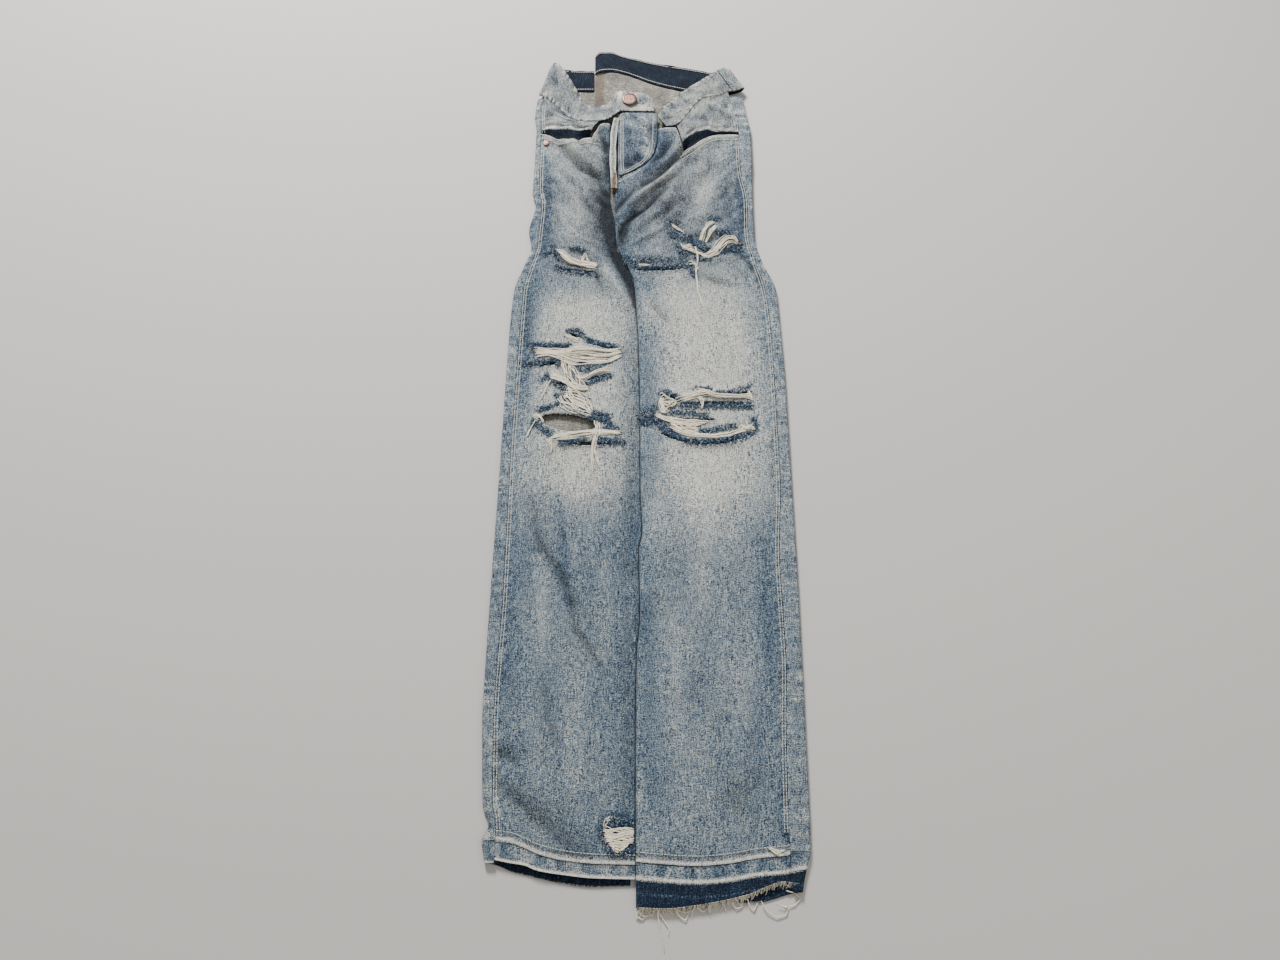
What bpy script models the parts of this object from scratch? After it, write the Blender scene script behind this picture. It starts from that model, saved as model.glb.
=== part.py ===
"""Ripped straight-leg jeans lying on their back, waist open, in metres with +Z up.

The waist points along +Y and the hems along -Y. The right leg, as the wearer
has it, is on the -X side. Each sewn piece is a closed wall of cloth of its own.
Tables are in millimetres and MM turns them into metres.
"""

import math

import bmesh
import bpy
from mathutils import Vector

MM = 0.001

# Cloth, in millimetres
DENIM = 1.5
DOUBLED = 2.3
SEAM_GAP = 0.3
EDGE_FOLD = 3.2
LAYER_CLEAR = 0.4
CROTCH_CLEAR = 1.9
POCKET_LIFT = 1.7
POCKET_WALL = 1.4
BAND_LIFT = 1.6

# The origin is under the middle of the whole part: how far the tables' own
# origin is moved to put it there
ORIGIN_SHIFT = (0.5, 5.2)

# Places along Y where the sections change
CROTCH = 212.0
YOKE_SEAM = 400.0
HEM_START = -455.0
HEM_BASE = -500.0
HIP_START = 350.0

# How many steps the grids of the pieces have across
FRONT_COLUMNS = 11
BACK_COLUMNS = 3
TURN_STEPS = 4
UNDER_STEPS = 3
FACING_COLUMNS = 9

# Each row is a section across the right leg: place along Y, outermost reach,
# outseam as it shows on top, and the upper surface's height at the outseam,
# the middle and the inner edge
RIGHT_SECTIONS = (
    # y, outer, seam, z_seam, z_middle, z_inner
    (-530, -156, -149, 6.0, 6.5, 5.0),
    (-500, -160, -149, 6.5, 7.5, 5.5),
    (-484, -163, -149, 6.5, 8.0, 5.5),
    (-470, -157, -149, 6.5, 8.5, 5.5),
    (-450, -164, -154, 6.5, 9.0, 5.5),
    (-410, -167, -156, 6.5, 9.5, 5.5),
    (-350, -170, -158, 6.5, 9.0, 5.5),
    (-230, -169, -155, 6.5, 9.0, 5.0),
    (-90, -167, -155, 7.0, 9.5, 5.0),
    (90, -165, -152, 7.5, 10.0, 5.0),
    (156, -162, -150, 8.0, 10.5, 5.0),
    (190, -152, -143, 8.5, 11.0, 5.5),
    (221, -143, -135, 8.5, 12.0, 6.0),
    (245, -147, -134, 8.5, 12.5, 6.5),
    (286, -140, -132, 8.5, 12.5, 7.0),
    (305, -145, -136, 9.0, 12.5, 8.0),
    (350, -144, -137, 9.0, 13.0, 9.0),
    (408, -144, -137, 9.5, 13.5, 9.5),
    (430, -147, -138, 9.5, 13.5, 9.5),
    (475, -143, -134, 9.5, 13.5, 9.5),
)
LEFT_SECTIONS = (
    # y, outer, seam, z_seam, z_middle, z_inner
    (-548, 151, 144, 6.0, 6.5, 6.5),
    (-520, 157, 144, 6.0, 7.0, 7.0),
    (-490, 165, 144, 6.5, 8.0, 8.0),
    (-376, 167, 147, 6.5, 8.5, 8.5),
    (-300, 168, 151, 6.5, 8.5, 8.5),
    (-200, 169, 150, 6.5, 8.5, 8.5),
    (-90, 169, 156, 7.0, 9.0, 8.5),
    (20, 169, 156, 7.5, 9.0, 8.5),
    (99, 167, 155, 8.0, 9.5, 9.0),
    (156, 165, 151, 8.0, 10.0, 9.0),
    (200, 149, 140, 8.5, 11.0, 9.0),
    (238, 141, 133, 8.5, 12.0, 9.0),
    (290, 141, 134, 9.0, 12.0, 9.0),
    (334, 142, 128, 9.5, 12.0, 9.0),
    (350, 143, 127, 10.0, 12.0, 9.0),
    (406, 143, 127, 10.0, 12.5, 9.5),
    (440, 138, 120, 10.0, 12.5, 10.0),
    (475, 134, 114, 10.0, 12.5, 10.0),
)
# Where the left leg's inner edge lies on the right leg, and above the crotch
# the rise, the bottom of the button stand and the front edge
INNER_EDGE = (
    # y, x
    (-550, -9.0),
    (-400, -9.5),
    (-300, -8.5),
    (-258, -5.0),
    (-182, -6.0),
    (-160, -2.5),
    (-110, -4.5),
    (-12, -5.0),
    (90, -7.0),
    (130, -9.5),
    (168, -12.0),
    (190, -20.0),
    (205, -27.0),
    (222, -34.5),
    (260, -37.0),
    (300, -38.0),
    (322, -35.5),
)
STAND_EDGE = (
    # y, x of the button stand's curved lower edge
    (322, -35.5),
    (331, -28.0),
    (340, -12.0),
    (350, 2.0),
    (368, 14.0),
    (395, 19.0),
    (480, 19.5),
)
RISE_RIGHT = (
    # y, x of the right front's centre edge
    (222, -35.0),
    (262, -38.0),
    (300, -44.0),
    (360, -44.5),
    (480, -45.0),
)
CENTRE_BACK = (
    # y, x of the seat seam
    (215, -36.0),
    (260, -27.0),
    (330, -24.0),
    (400, -45.0),
)
CENTRE_BACK_END = (520.0, -68.0)

# Each row is one fold of a front: its two ends, its half width and its height,
# a ridge above zero and a trough below
RIGHT_FOLDS = (
    # x1, y1, x2, y2, half width, height
    (-52, 205, -16, 135, 11, 3.2),
    (-30, 215, -14, 160, 14, -5.0),
    (-62, 330, -50, 200, 16, -5.0),
    (-112, 372, -62, 322, 9, -4.0),
    (-100, 385, -55, 345, 8, 5.0),
    (-80, 392, -50, 358, 7, -4.5),
    (-70, 400, -48, 372, 7, 4.0),
    (-52, 396, -49, 355, 6, -5.0),
    (-100, 414, -48, 414, 10, 3.5),
    (-128, 350, -100, 300, 12, 2.5),
    (-130, 292, -108, 282, 10, -2.0),
    (-132, 195, -95, 215, 13, 2.5),
    (-88, 206, -58, 196, 8, -3.0),
    (-104, 192, -66, 180, 9, -3.0),
    (-110, 60, -50, 74, 10, 2.5),
    (-112, -52, -40, -46, 9, 3.0),
    (-100, -8, -60, -16, 10, 3.0),
    (-130, -110, -112, -185, 9, -2.6),
    (-112, -185, -78, -245, 9, -3.4),
    (-78, -245, -40, -315, 9, -3.2),
    (-140, -150, -128, -260, 13, 1.8),
    (-85, -130, -60, -215, 14, 1.6),
    (-162, -398, -136, -406, 11, -2.6),
    (-148, -432, -100, -468, 10, -3.4),
    (-100, -468, -60, -492, 9, -2.8),
    (-128, -420, -80, -450, 11, 1.6),
    (-60, -330, -48, -430, 13, 1.5),
)
LEFT_FOLDS = (
    # x1, y1, x2, y2, half width, height
    (50, 367, 2, 312, 8, -5.0),
    (36, 342, -18, 292, 9, 5.5),
    (30, 311, -22, 262, 7, -5.0),
    (-20, 262, -30, 226, 6, -4.0),
    (60, 322, -6, 258, 13, 4.0),
    (-34, 300, -16, 306, 8, -5.0),
    (-38, 288, -32, 270, 8, -5.0),
    (88, 330, 34, 252, 15, -2.0),
    (104, 352, 70, 262, 15, 2.2),
    (126, 350, 120, 300, 10, -2.4),
    (52, 405, 50, 378, 9, 3.0),
    (58, 228, 118, 226, 9, -3.0),
    (62, 238, 112, 246, 9, 3.0),
    (20, 204, -18, 202, 8, 2.5),
    (108, 196, 150, 186, 13, -2.4),
    (70, 168, 104, 160, 9, -1.6),
    (2, 128, 30, 110, 7, -1.4),
    (24, 16, 50, 2, 10, 2.5),
    (60, 10, 126, 12, 9, 2.2),
    (40, -52, 118, -48, 9, 3.0),
    (4, -24, 30, -24, 9, -2.0),
    (20, -150, 6, -250, 14, 1.2),
    (60, -300, 90, -420, 18, 1.5),
    (120, -180, 112, -290, 16, -1.2),
    (-2, -490, 60, -486, 12, 1.5),
)

# Each row is one gap that is cut through a front: its centre, its length and
# greatest width, its turn in degrees and how far its middle bows down
RIGHT_GAPS = (
    # x, y, long, wide, turn, bow
    (-84, 184, 50, 6.5, -7, 2),
    (-84, 197, 36, 4.6, -4, 1),
    (-84, 91, 15, 4.6, -20, 1),
    (-112, 73, 44, 5.0, 2, 0),
    (-52, 77, 40, 5.5, -12, 0),
    (-118, 52, 46, 5.5, 2, 1),
    (-56, 34, 34, 5.0, 14, 1),
    (-98, 24, 26, 4.6, -12, 1),
    (-89, -26, 66, 21.0, -8, 2),
    (-52, -17, 24, 5.0, 4, 1),
    (-66, -52, 70, 4.6, 1, 3),
)
LEFT_GAPS = (
    # x, y, long, wide, turn, bow
    (82, 217, 44, 6.0, -3, 6),
    (117, 221, 18, 5.0, 10, 1),
    (24, 187, 68, 5.2, 4, 2),
    (35, 6, 9, 6.5, 0, 0),
    (106, 12, 48, 4.6, 4, 3),
    (84, -1, 88, 5.2, 0, 1),
    (13, -24, 22, 4.8, 0, 1),
    (62, -22, 42, 4.6, 0, 1),
    (72, -46, 106, 6.0, 0, 13),
)

# Each row is a station along one half of the waistband, with its lower (sewn)
# edge and its upper edge
BAND_RIGHT = (
    # x_low, y_low, z_low, x_up, y_up, z_up
    (14, 437, 10, 12, 458, 10),
    (4, 437, 10, 2, 466, 10),
    (-14, 437, 10, -14, 471, 10),
    (-30, 437, 11, -32, 472, 10),
    (-40, 428, 12, -42, 462, 8),
    (-50, 420, 13, -52, 451, 6),
    (-68, 416, 14.5, -68, 449, 6),
    (-86, 417, 14.5, -79, 452, 8),
    (-104, 427, 13, -87, 464, 12),
    (-115, 441, 12, -96, 480, 16),
    (-126, 453, 11, -106, 497, 19),
    (-135, 462, 10.5, -116, 511, 20),
    (-140, 466, 9, -123, 517, 16),
    (-142, 469, 6, -125, 520, 9),
    (-137, 472, 3, -120, 521, 4),
    (-124, 475, 2.75, -112, 520, 2.75),
    (-106, 478, 2.75, -102, 517, 2.75),
    (-88, 479, 2.75, -88, 516, 2.75),
    (-68.5, 479, 2.75, -68.5, 516, 2.75),
)
BAND_LEFT = (
    # x_low, y_low, z_low, x_up, y_up, z_up
    (-67, 506, 5.0, -67.5, 541, 5.0),
    (-60, 511, 5.0, -61, 548, 5.0),
    (-45, 513, 4.5, -47, 549, 4.5),
    (-25, 509, 3.5, -30, 543, 3.5),
    (-10, 503, 2.75, -12, 538, 2.75),
    (6, 495, 2.75, 8, 532, 2.75),
    (24, 488, 2.75, 34, 526, 2.75),
    (44, 482, 2.75, 56, 522, 2.75),
    (70, 476, 2.75, 78, 517, 2.75),
    (98, 473, 2.75, 98, 512, 2.75),
    (122, 475, 2.9, 112, 511, 3.2),
    (134, 478, 4.5, 119, 509, 6),
    (137, 479, 7.5, 118, 507, 12),
    (132, 476, 10, 109, 506, 17),
    (119, 471, 11, 98, 500, 18.5),
    (107, 465, 12, 84, 490, 17),
    (96, 461, 12.5, 72, 482, 15.5),
    (84, 459, 12.5, 62, 475, 14.5),
    (72, 450, 12, 49, 465, 13.5),
    (61, 434, 11.5, 38, 452, 13),
    (51, 420, 11, 29, 446, 12.5),
    (42, 413, 10.5, 22, 438, 12),
    (30, 411, 10.5, 19.6, 427, 11.5),
)

# The pocket mouths: each row gives the front's lip and the lip above it
RIGHT_MOUTH = (
    # x, y of the lower lip, y of the upper lip
    (-140, 401, 403),
    (-128, 396, 406),
    (-115, 389, 405),
    (-100, 386, 404),
    (-88, 388, 401),
    (-76, 391, 402),
    (-64, 389, 399),
    (-56, 386, 394),
)
LEFT_MOUTH = (
    # x, y of the lower lip, y of the upper lip
    (46, 366, 372),
    (55, 371, 387),
    (65, 378, 397),
    (75, 386, 402),
    (85, 392, 404),
    (95, 395, 400),
    (110, 397, 399),
    (128, 397, 398.5),
)

# The fronts' upper edges between the pocket mouth and the fly
RIGHT_RISE_TOP = (
    # x, y
    (-70, 387),
    (-56, 413),
    (-44, 418),
)
LEFT_RISE_TOP = (
    # x, y
    (18, 409.4),
    (30, 409.2),
    (42, 409.0),
    (51, 371),
)

# Hem lines: each row gives the seam of the hem and the ends of its two layers
RIGHT_HEM = (
    # x, y of the seam, y of the front's end, y of the back's end
    (-170, -484, -499, -503),
    (-150, -484, -502, -507),
    (-134, -486, -505, -513),
    (-120, -491, -507, -516),
    (-106, -497, -512, -519),
    (-80, -503, -516, -524),
    (-50, -506, -519, -527),
    (-9, -507, -520, -526),
)
LEFT_HEM = (
    # x, y of the seam, y of the front's raw end, y of the back's raw end
    (-10, -504, -546, -540),
    (20, -506.5, -547, -540),
    (50, -508, -544, -540),
    (80, -506, -539, -540),
    (105, -502, -533, -541),
    (120, -500, -527, -541),
    (135, -499, -523, -538),
    (150, -496, -524, -534),
    (172, -493, -521, -530),
)

# The yokes' upper edges, below the waistband and inside its turn
YOKE_TOPS = {
    "yoke_right": (
        # x, y
        (-150, 459.0),
        (-140, 460.0),
        (-128, 470.0),
        (-106, 476.6),
        (-66, 477.6),
    ),
    "yoke_left": (
        # x, y
        (-68, 501.0),
        (-58, 507.0),
        (-45, 511.0),
        (-25, 507.2),
        (-10, 501.2),
        (6, 493.4),
        (24, 486.6),
        (44, 480.6),
        (70, 474.6),
        (98, 471.6),
        (118, 471.0),
        (130, 464.0),
        (140, 461.0),
        (150, 460.0),
    ),
}

# Back pockets: centre, width at the mouth, depth at the side and at the point
BACK_POCKETS = (
    # name, x, y of the mouth, width, side depth, point depth
    ("back_pocket_right", -80, 382, 104, 112, 128),
    ("back_pocket_left", 62, 382, 104, 112, 128),
)
POCKET_TAPER = 5.0
# Belt loops at the back, under the waistband
BACK_LOOPS = (
    # name, x, y of the lower end, y of the upper end
    ("belt_loop_back_right", -98, 480.0, 514.0),
    ("belt_loop_back_centre", -4, 502.0, 532.0),
    ("belt_loop_back_left", 66, 479.5, 516.0),
)
LOOP_WIDTH = 12.0
LOOP_WALL = 1.2
# The side's loop lies on the turned waistband: a fraction of the way up the
# band and how far it stands off it
SIDE_LOOP_STATION = 14
SIDE_LOOP = (
    # fraction, stand-off
    (-0.02, 0.6),
    (0.2, 1.4),
    (0.5, 2.0),
    (0.8, 1.4),
    (0.98, 0.7),
)

# The button stand: its straight inner edge, its foot and its head
STAND_INNER = -33.9
STAND_FOOT = 331.0
STAND_HEAD = 434.3
STAND_HEIGHT = 10.6
# The doubled edge beside it: its middle, its ends, its half width and height
FLY_EDGE_X = -39.6
FLY_EDGE_FOOT = 308.0
FLY_EDGE_HEAD = 424.0
FLY_EDGE_HALF = 4.0
FLY_EDGE_HEIGHT = 11.5

# The button stand's worn bumps, where its buttons sit
BUMPS = (
    # x, y
    (-3, 420),
    (-4, 403),
    (-2, 386),
    (-1, 370),
)
BUMP_RADIUS = 8.0
BUMP_HEIGHT = 1.3

WAIST_BUTTON = (-19.0, 455.0)
WAIST_BUTTON_RADIUS = 10.0
RIVET = (-129.0, 383.0)
RIVET_RADIUS = 4.5
BUTTON_PROFILE = (
    # radius, height
    (0.0, 0.0),
    (4.0, 0.0),
    (4.0, 1.6),
    (9.0, 1.8),
    (WAIST_BUTTON_RADIUS, 2.6),
    (WAIST_BUTTON_RADIUS - 0.6, 3.8),
    (7.8, 4.2),
    (7.2, 3.6),
    (0.0, 3.6),
)
RIVET_PROFILE = (
    # radius, height
    (0.0, 0.0),
    (RIVET_RADIUS, 0.0),
    (RIVET_RADIUS - 0.4, 0.8),
    (1.8, 1.2),
    (0.0, 1.2),
)

# The frayed yarns of the raw hem: where they run, how many, and their strip
FRINGE_START = -6.0
FRINGE_END = 118.0
FRINGE_STRANDS = 34
FRINGE_LOW = 5.0
FRINGE_HIGH = 6.0
FRINGE_STRIP = 1.6
FRINGE_GAP = 0.5
STRAND_TAPER = 0.72

# Colours as linear red, green and blue
FADED = (0.30, 0.36, 0.40)
MID = (0.14, 0.20, 0.27)
NAVY = (0.012, 0.022, 0.055)
GREIGE = (0.30, 0.27, 0.23)
COPPER = (0.60, 0.32, 0.22)
COTTON = (0.75, 0.70, 0.60)


def clear_scene():
    for thing in list(bpy.data.objects):
        bpy.data.objects.remove(thing, do_unlink=True)


def clamp(value, low, high):
    return max(low, min(high, value))


def ease(value, low, high):
    """0 below low, 1 above high, and a smooth step between."""
    t = clamp((value - low) / (high - low), 0.0, 1.0)
    return t * t * (3.0 - 2.0 * t)


def read(rows, key, column):
    """A table's column at a key of its first column, on a smooth curve."""
    order = 1.0 if rows[-1][0] > rows[0][0] else -1.0
    key = clamp(key, min(rows[0][0], rows[-1][0]), max(rows[0][0], rows[-1][0]))
    last = len(rows) - 1
    k = 0
    while k < last - 1 and (key - rows[k + 1][0]) * order > 0.0:
        k += 1
    before, start = rows[max(k - 1, 0)], rows[k]
    end, after = rows[k + 1], rows[min(k + 2, last)]
    span = end[0] - start[0]
    rise = end[column] - start[column]
    slope = rise / span
    left = (start[column] - before[column]) / (start[0] - before[0]) if k > 0 else slope
    right = (after[column] - end[column]) / (after[0] - end[0]) if k + 2 <= last else slope
    first = tangent(left, slope)
    second = tangent(slope, right)
    t = (key - start[0]) / span
    return (
        start[column] * (1 + 2 * t) * (1 - t) ** 2
        + first * span * t * (1 - t) ** 2
        + end[column] * t * t * (3 - 2 * t)
        + second * span * t * t * (t - 1)
    )


def tangent(one, two):
    """A slope between two slopes that never overshoots."""
    if one * two <= 0.0:
        return 0.0
    return 2.0 * one * two / (one + two)


def fold_height(folds, x, y):
    """The sum of the soft ridges and troughs at a place."""
    total = 0.0
    for x1, y1, x2, y2, half, height in folds:
        run = Vector((x2 - x1, y2 - y1))
        away = Vector((x - x1, y - y1))
        t = clamp(away.dot(run) / run.length_squared, 0.0, 1.0)
        gap = (away - run * t).length / half
        if gap < 3.0:
            total += height * math.exp(-gap * gap) * (0.55 + 0.45 * math.sin(math.pi * t))
    return total


def back_lift(x, y):
    """How far the back is raised where a back pocket lies under it."""
    lift = 0.0
    for _, cx, mouth, width, _, point in BACK_POCKETS:
        aside = max(0.0, abs(x - cx) - width / 2 - 24.0)
        along = max(0.0, y - mouth - 18.0, mouth - point - 18.0 - y)
        lift = max(lift, 1.0 - ease(math.hypot(aside, along), 0.0, 26.0))
    return POCKET_LIFT * lift


class Leg:
    """One leg's tables, and the side of it that faces outwards."""

    def __init__(self, name, sections, folds, hem, outward):
        self.name = name
        self.sections = sections
        self.folds = folds
        self.hem = hem
        self.outward = outward

    def inner(self, y):
        """The inner edge of the front at a place along the length."""
        if self.outward > 0:
            return read(STAND_EDGE, y, 1) if y > STAND_EDGE[0][0] else read(INNER_EDGE, y, 1)
        if y > RISE_RIGHT[0][0]:
            return read(RISE_RIGHT, y, 1)
        return read(INNER_EDGE, y, 1) - SEAM_GAP

    def top(self, x, y):
        """The height of the front's upper surface."""
        seam = read(self.sections, y, 2)
        inner = self.inner(y)
        t = clamp((x - seam) / (inner - seam), 0.0, 1.0)
        low, middle, high = (read(self.sections, y, column) for column in (3, 4, 5))
        bulge = middle - (low + high) / 2
        base = low + (high - low) * t + bulge * math.sin(math.pi * t) ** 0.8
        edge = min(1.0, 3.2 * t, 5.0 * (1.0 - t) + 0.25)
        base += fold_height(self.folds, x, y) * edge
        floor = 2 * DENIM + 2 * SEAM_GAP + LAYER_CLEAR + back_lift(x, y)
        floor += CROTCH_CLEAR * ease(t, 0.7, 0.95) * ease(y, CROTCH - 60, CROTCH - 22)
        return floor + soft_plus(base - floor)

    def under(self, y):
        """The lowest point of the front's turned-under inner edge."""
        return (DENIM + SEAM_GAP + 0.2 + back_lift(self.inner(y), y)) * ease(y, CROTCH - 22, CROTCH)


def soft_plus(value):
    """Close to the value above zero, and close to zero below it."""
    return 0.5 * (value + math.sqrt(value * value + 1.5))


def front_row(leg, place_y):
    """Points across the front, from the outseam to under the inner edge.

    place_y gives y for a fraction from the outseam to the inner edge."""
    points = []
    for k in range(FRONT_COLUMNS + 1):
        t = k / FRONT_COLUMNS
        y = place_y(t)
        seam = read(leg.sections, y, 2) - leg.outward * SEAM_GAP
        start = leg.inner(y) + leg.outward * EDGE_FOLD
        x = seam + (start - seam) * t
        points.append(Vector((x, y, leg.top(x, y) - DENIM / 2)))
    y = place_y(1.0)
    centre = leg.inner(y) + leg.outward * EDGE_FOLD
    reach = EDGE_FOLD - DENIM / 2
    high = points[-1].z
    low = leg.under(y) + DENIM / 2
    for step in range(1, UNDER_STEPS + 1):
        angle = math.pi / 2 * (1 - 2 * step / UNDER_STEPS)
        points.append(Vector((
            centre - leg.outward * reach * math.cos(angle),
            y,
            (high + low) / 2 + (high - low) / 2 * math.sin(angle),
        )))
    return points


def back_row(leg, columns, place_y, inner, lift=None):
    """Points across the back, from its inner edge round to the outseam."""
    points = []
    for k in range(columns + 1):
        t = k / columns
        y = place_y(1.0 - t)
        start = inner(y)
        end = read(leg.sections, y, 1) - leg.outward * EDGE_FOLD
        x = start + (end - start) * t
        z = DENIM / 2 + back_lift(x, y)
        if lift:
            z += lift(x, y)
        points.append(Vector((x, y, z)))
    y = place_y(0.0)
    flat_end = read(leg.sections, y, 1) - leg.outward * EDGE_FOLD
    seam = read(leg.sections, y, 2)
    high = leg.top(seam, y) - DENIM / 2
    low = points[-1].z
    reach = EDGE_FOLD - DENIM / 2
    for step in range(1, TURN_STEPS + 1):
        angle = math.pi / 2 * (2 * step / TURN_STEPS - 1)
        points.append(Vector((
            flat_end + leg.outward * reach * math.cos(angle),
            y,
            (high + low) / 2 + (high - low) / 2 * math.sin(angle),
        )))
    points.append(Vector(((flat_end + seam) / 2, y, high)))
    points.append(Vector((seam, y, high)))
    return points


def material(name, colour, roughness=0.9, metallic=0.0):
    made = bpy.data.materials.new(name)
    made.use_nodes = True
    shader = made.node_tree.nodes["Principled BSDF"]
    shader.inputs["Base Color"].default_value = (*colour, 1.0)
    shader.inputs["Roughness"].default_value = roughness
    shader.inputs["Metallic"].default_value = metallic
    made.diffuse_color = (*colour, 1.0)
    return made


def link_object(name, mesh, finish):
    made = bpy.data.objects.new(name, mesh)
    mesh.materials.append(finish)
    bpy.context.collection.objects.link(made)
    return made


def wall(name, rows, finish, thick=DENIM):
    """A closed wall: a grid of middle points moved out to both sides."""
    tall, wide = len(rows), len(rows[0])
    bm = bmesh.new()
    sides = []
    normals = [[grid_normal(rows, j, i) for i in range(wide)] for j in range(tall)]
    for side in (0.5, -0.5):
        sides.append([
            [bm.verts.new((rows[j][i] + normals[j][i] * thick * side) * MM) for i in range(wide)]
            for j in range(tall)
        ])
    upper, lower = sides
    for j in range(tall - 1):
        for i in range(wide - 1):
            bm.faces.new((upper[j][i], upper[j][i + 1], upper[j + 1][i + 1], upper[j + 1][i]))
            bm.faces.new((lower[j][i], lower[j + 1][i], lower[j + 1][i + 1], lower[j][i + 1]))
    for j in range(tall - 1):
        for i, turn in ((0, 1), (wide - 1, -1)):
            ring = (upper[j][i], upper[j + 1][i], lower[j + 1][i], lower[j][i])
            bm.faces.new(ring[::turn])
    for i in range(wide - 1):
        for j, turn in ((0, -1), (tall - 1, 1)):
            ring = (upper[j][i], upper[j][i + 1], lower[j][i + 1], lower[j][i])
            bm.faces.new(ring[::turn])
    bmesh.ops.recalc_face_normals(bm, faces=bm.faces)
    mesh = bpy.data.meshes.new(name)
    bm.to_mesh(mesh)
    bm.free()
    mesh.shade_smooth()
    mesh.set_sharp_from_angle(angle=math.radians(50))
    return link_object(name, mesh, finish)


def grid_normal(rows, j, i):
    """The grid's normal at a point, from its neighbours."""
    wide, tall = len(rows[0]), len(rows)
    across = rows[j][min(i + 1, wide - 1)] - rows[j][max(i - 1, 0)]
    along = rows[min(j + 1, tall - 1)][i] - rows[max(j - 1, 0)][i]
    return across.cross(along).normalized()


def gap_outline(gap):
    """The outline of a gap, a lens that may bow down."""
    x, y, long, wide, turn, bow = gap
    steps = 4 if long > 30 else 3
    angle = math.radians(turn)
    outline = []
    for k in range(2 * steps):
        t = math.pi * k / steps
        along = math.cos(t) * long / 2
        across = math.sin(t) * wide / 2 - bow * math.sin(t) ** 2 + bow * 0.5
        outline.append((
            x + along * math.cos(angle) - across * math.sin(angle),
            y + along * math.sin(angle) + across * math.cos(angle),
        ))
    return outline


def cut_gaps(piece, gaps):
    """Cut a front's gaps through with standing prisms in their outlines."""
    low, high = -2.0, 40.0
    bm = bmesh.new()
    for gap in gaps:
        face = bm.faces.new([bm.verts.new((x * MM, y * MM, low * MM)) for x, y in gap_outline(gap)])
        lifted = bmesh.ops.extrude_face_region(bm, geom=[face])["geom"]
        top = [item for item in lifted if isinstance(item, bmesh.types.BMVert)]
        bmesh.ops.translate(bm, verts=top, vec=(0, 0, (high - low) * MM))
    bmesh.ops.recalc_face_normals(bm, faces=bm.faces)
    mesh = bpy.data.meshes.new(piece.name + "_gaps")
    bm.to_mesh(mesh)
    bm.free()
    cutter = bpy.data.objects.new(piece.name + "_gaps", mesh)
    bpy.context.collection.objects.link(cutter)
    cutter.hide_render = True
    cutter.display_type = "WIRE"
    cut = piece.modifiers.new("gaps", "BOOLEAN")
    cut.operation = "DIFFERENCE"
    cut.solver = "EXACT"
    cut.object = cutter


def spread(stretches):
    """Places along Y from a list of stretches, each with its own spacing."""
    places = [stretches[0][0]]
    for start, end, spacing in stretches:
        count = max(1, round(abs(end - start) / spacing))
        places += [start + (end - start) * k / count for k in range(1, count + 1)]
    return places


FRONT_STRETCHES = (
    # from, to, spacing
    (HEM_START, -75, 34),
    (-75, 105, 13),
    (105, 175, 14),
    (175, 235, 10),
    (235, HIP_START, 11.5),
)
BACK_STRETCHES = (
    # from, to, spacing
    (HEM_START, -75, 34),
    (-75, 105, 36),
    (105, 175, 14),
    (175, 235, 10),
    (235, HIP_START, 11.5),
)


def seat_seam(y):
    """x of the centre back seam, straight across the yokes."""
    if y < YOKE_SEAM:
        return read(CENTRE_BACK, y, 1)
    start = CENTRE_BACK[-1]
    return start[1] + (y - start[0]) * (CENTRE_BACK_END[1] - start[1]) / (CENTRE_BACK_END[0] - start[0])


def hem_line(leg, column):
    """One of the hem table's lines, read at x."""
    return lambda x: read(leg.hem, x, column)


def section_x(leg, y, t):
    """x at a fraction of the way from the outseam to the inner edge's turn."""
    seam = read(leg.sections, y, 2)
    return seam + (leg.inner(y) + leg.outward * EDGE_FOLD - seam) * t


def toward(leg, start, line, share, shift=0.0):
    """y as a blend from a straight start to a line that is read at x."""
    def place_y(t):
        y = start
        for _ in range(8):
            wanted = start + (line(section_x(leg, y, t)) + shift - start) * share
            y += (wanted - y) * 0.6
        return y
    return place_y


def straight(y):
    """A row at one place along the length."""
    return lambda t: y


def make_front(leg, lip, gaps, finish):
    """A front, from its hem seam up to its pocket lip and the waistband."""
    rows = []
    seam_line = hem_line(leg, 1)
    for start, share in ((HEM_BASE, 1.0), (HEM_START, 0.5)):
        rows.append(front_row(leg, toward(leg, start, seam_line, share, SEAM_GAP)))
    for y in spread(FRONT_STRETCHES):
        rows.append(front_row(leg, straight(y)))
    for share in (0.25, 0.5, 0.75, 1.0):
        rows.append(front_row(leg, toward(leg, HIP_START, lip, share)))
    piece = wall(leg.name, rows, finish)
    cut_gaps(piece, gaps)
    return piece


def make_back(name, leg, finish):
    """A back, flat below and turned up round the outer edge to the outseam."""
    def inner(y):
        seat = seat_seam(y) + leg.outward * SEAM_GAP
        edge = leg.inner(min(y, CROTCH)) + leg.outward * (EDGE_FOLD + DENIM + SEAM_GAP)
        blend = ease(y, CROTCH + 4, CROTCH + 26)
        return edge + (seat - edge) * blend

    rows = []
    seam_line = hem_line(leg, 1)
    rows.append(back_row(leg, BACK_COLUMNS, back_toward(leg, HEM_BASE, seam_line, SEAM_GAP), inner))
    for y in spread(BACK_STRETCHES):
        rows.append(back_row(leg, BACK_COLUMNS, straight(y), inner))
    rows.append(back_row(leg, BACK_COLUMNS, straight(YOKE_SEAM - SEAM_GAP), inner))
    return wall(name, rows, finish)


def back_toward(leg, start, line, shift):
    """y for a back row, whose fraction runs from the outer edge inwards."""
    def place_y(t):
        outer = read(leg.sections, start, 1)
        return line(outer + (leg.inner(start) - outer) * t) + shift
    return place_y


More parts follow.
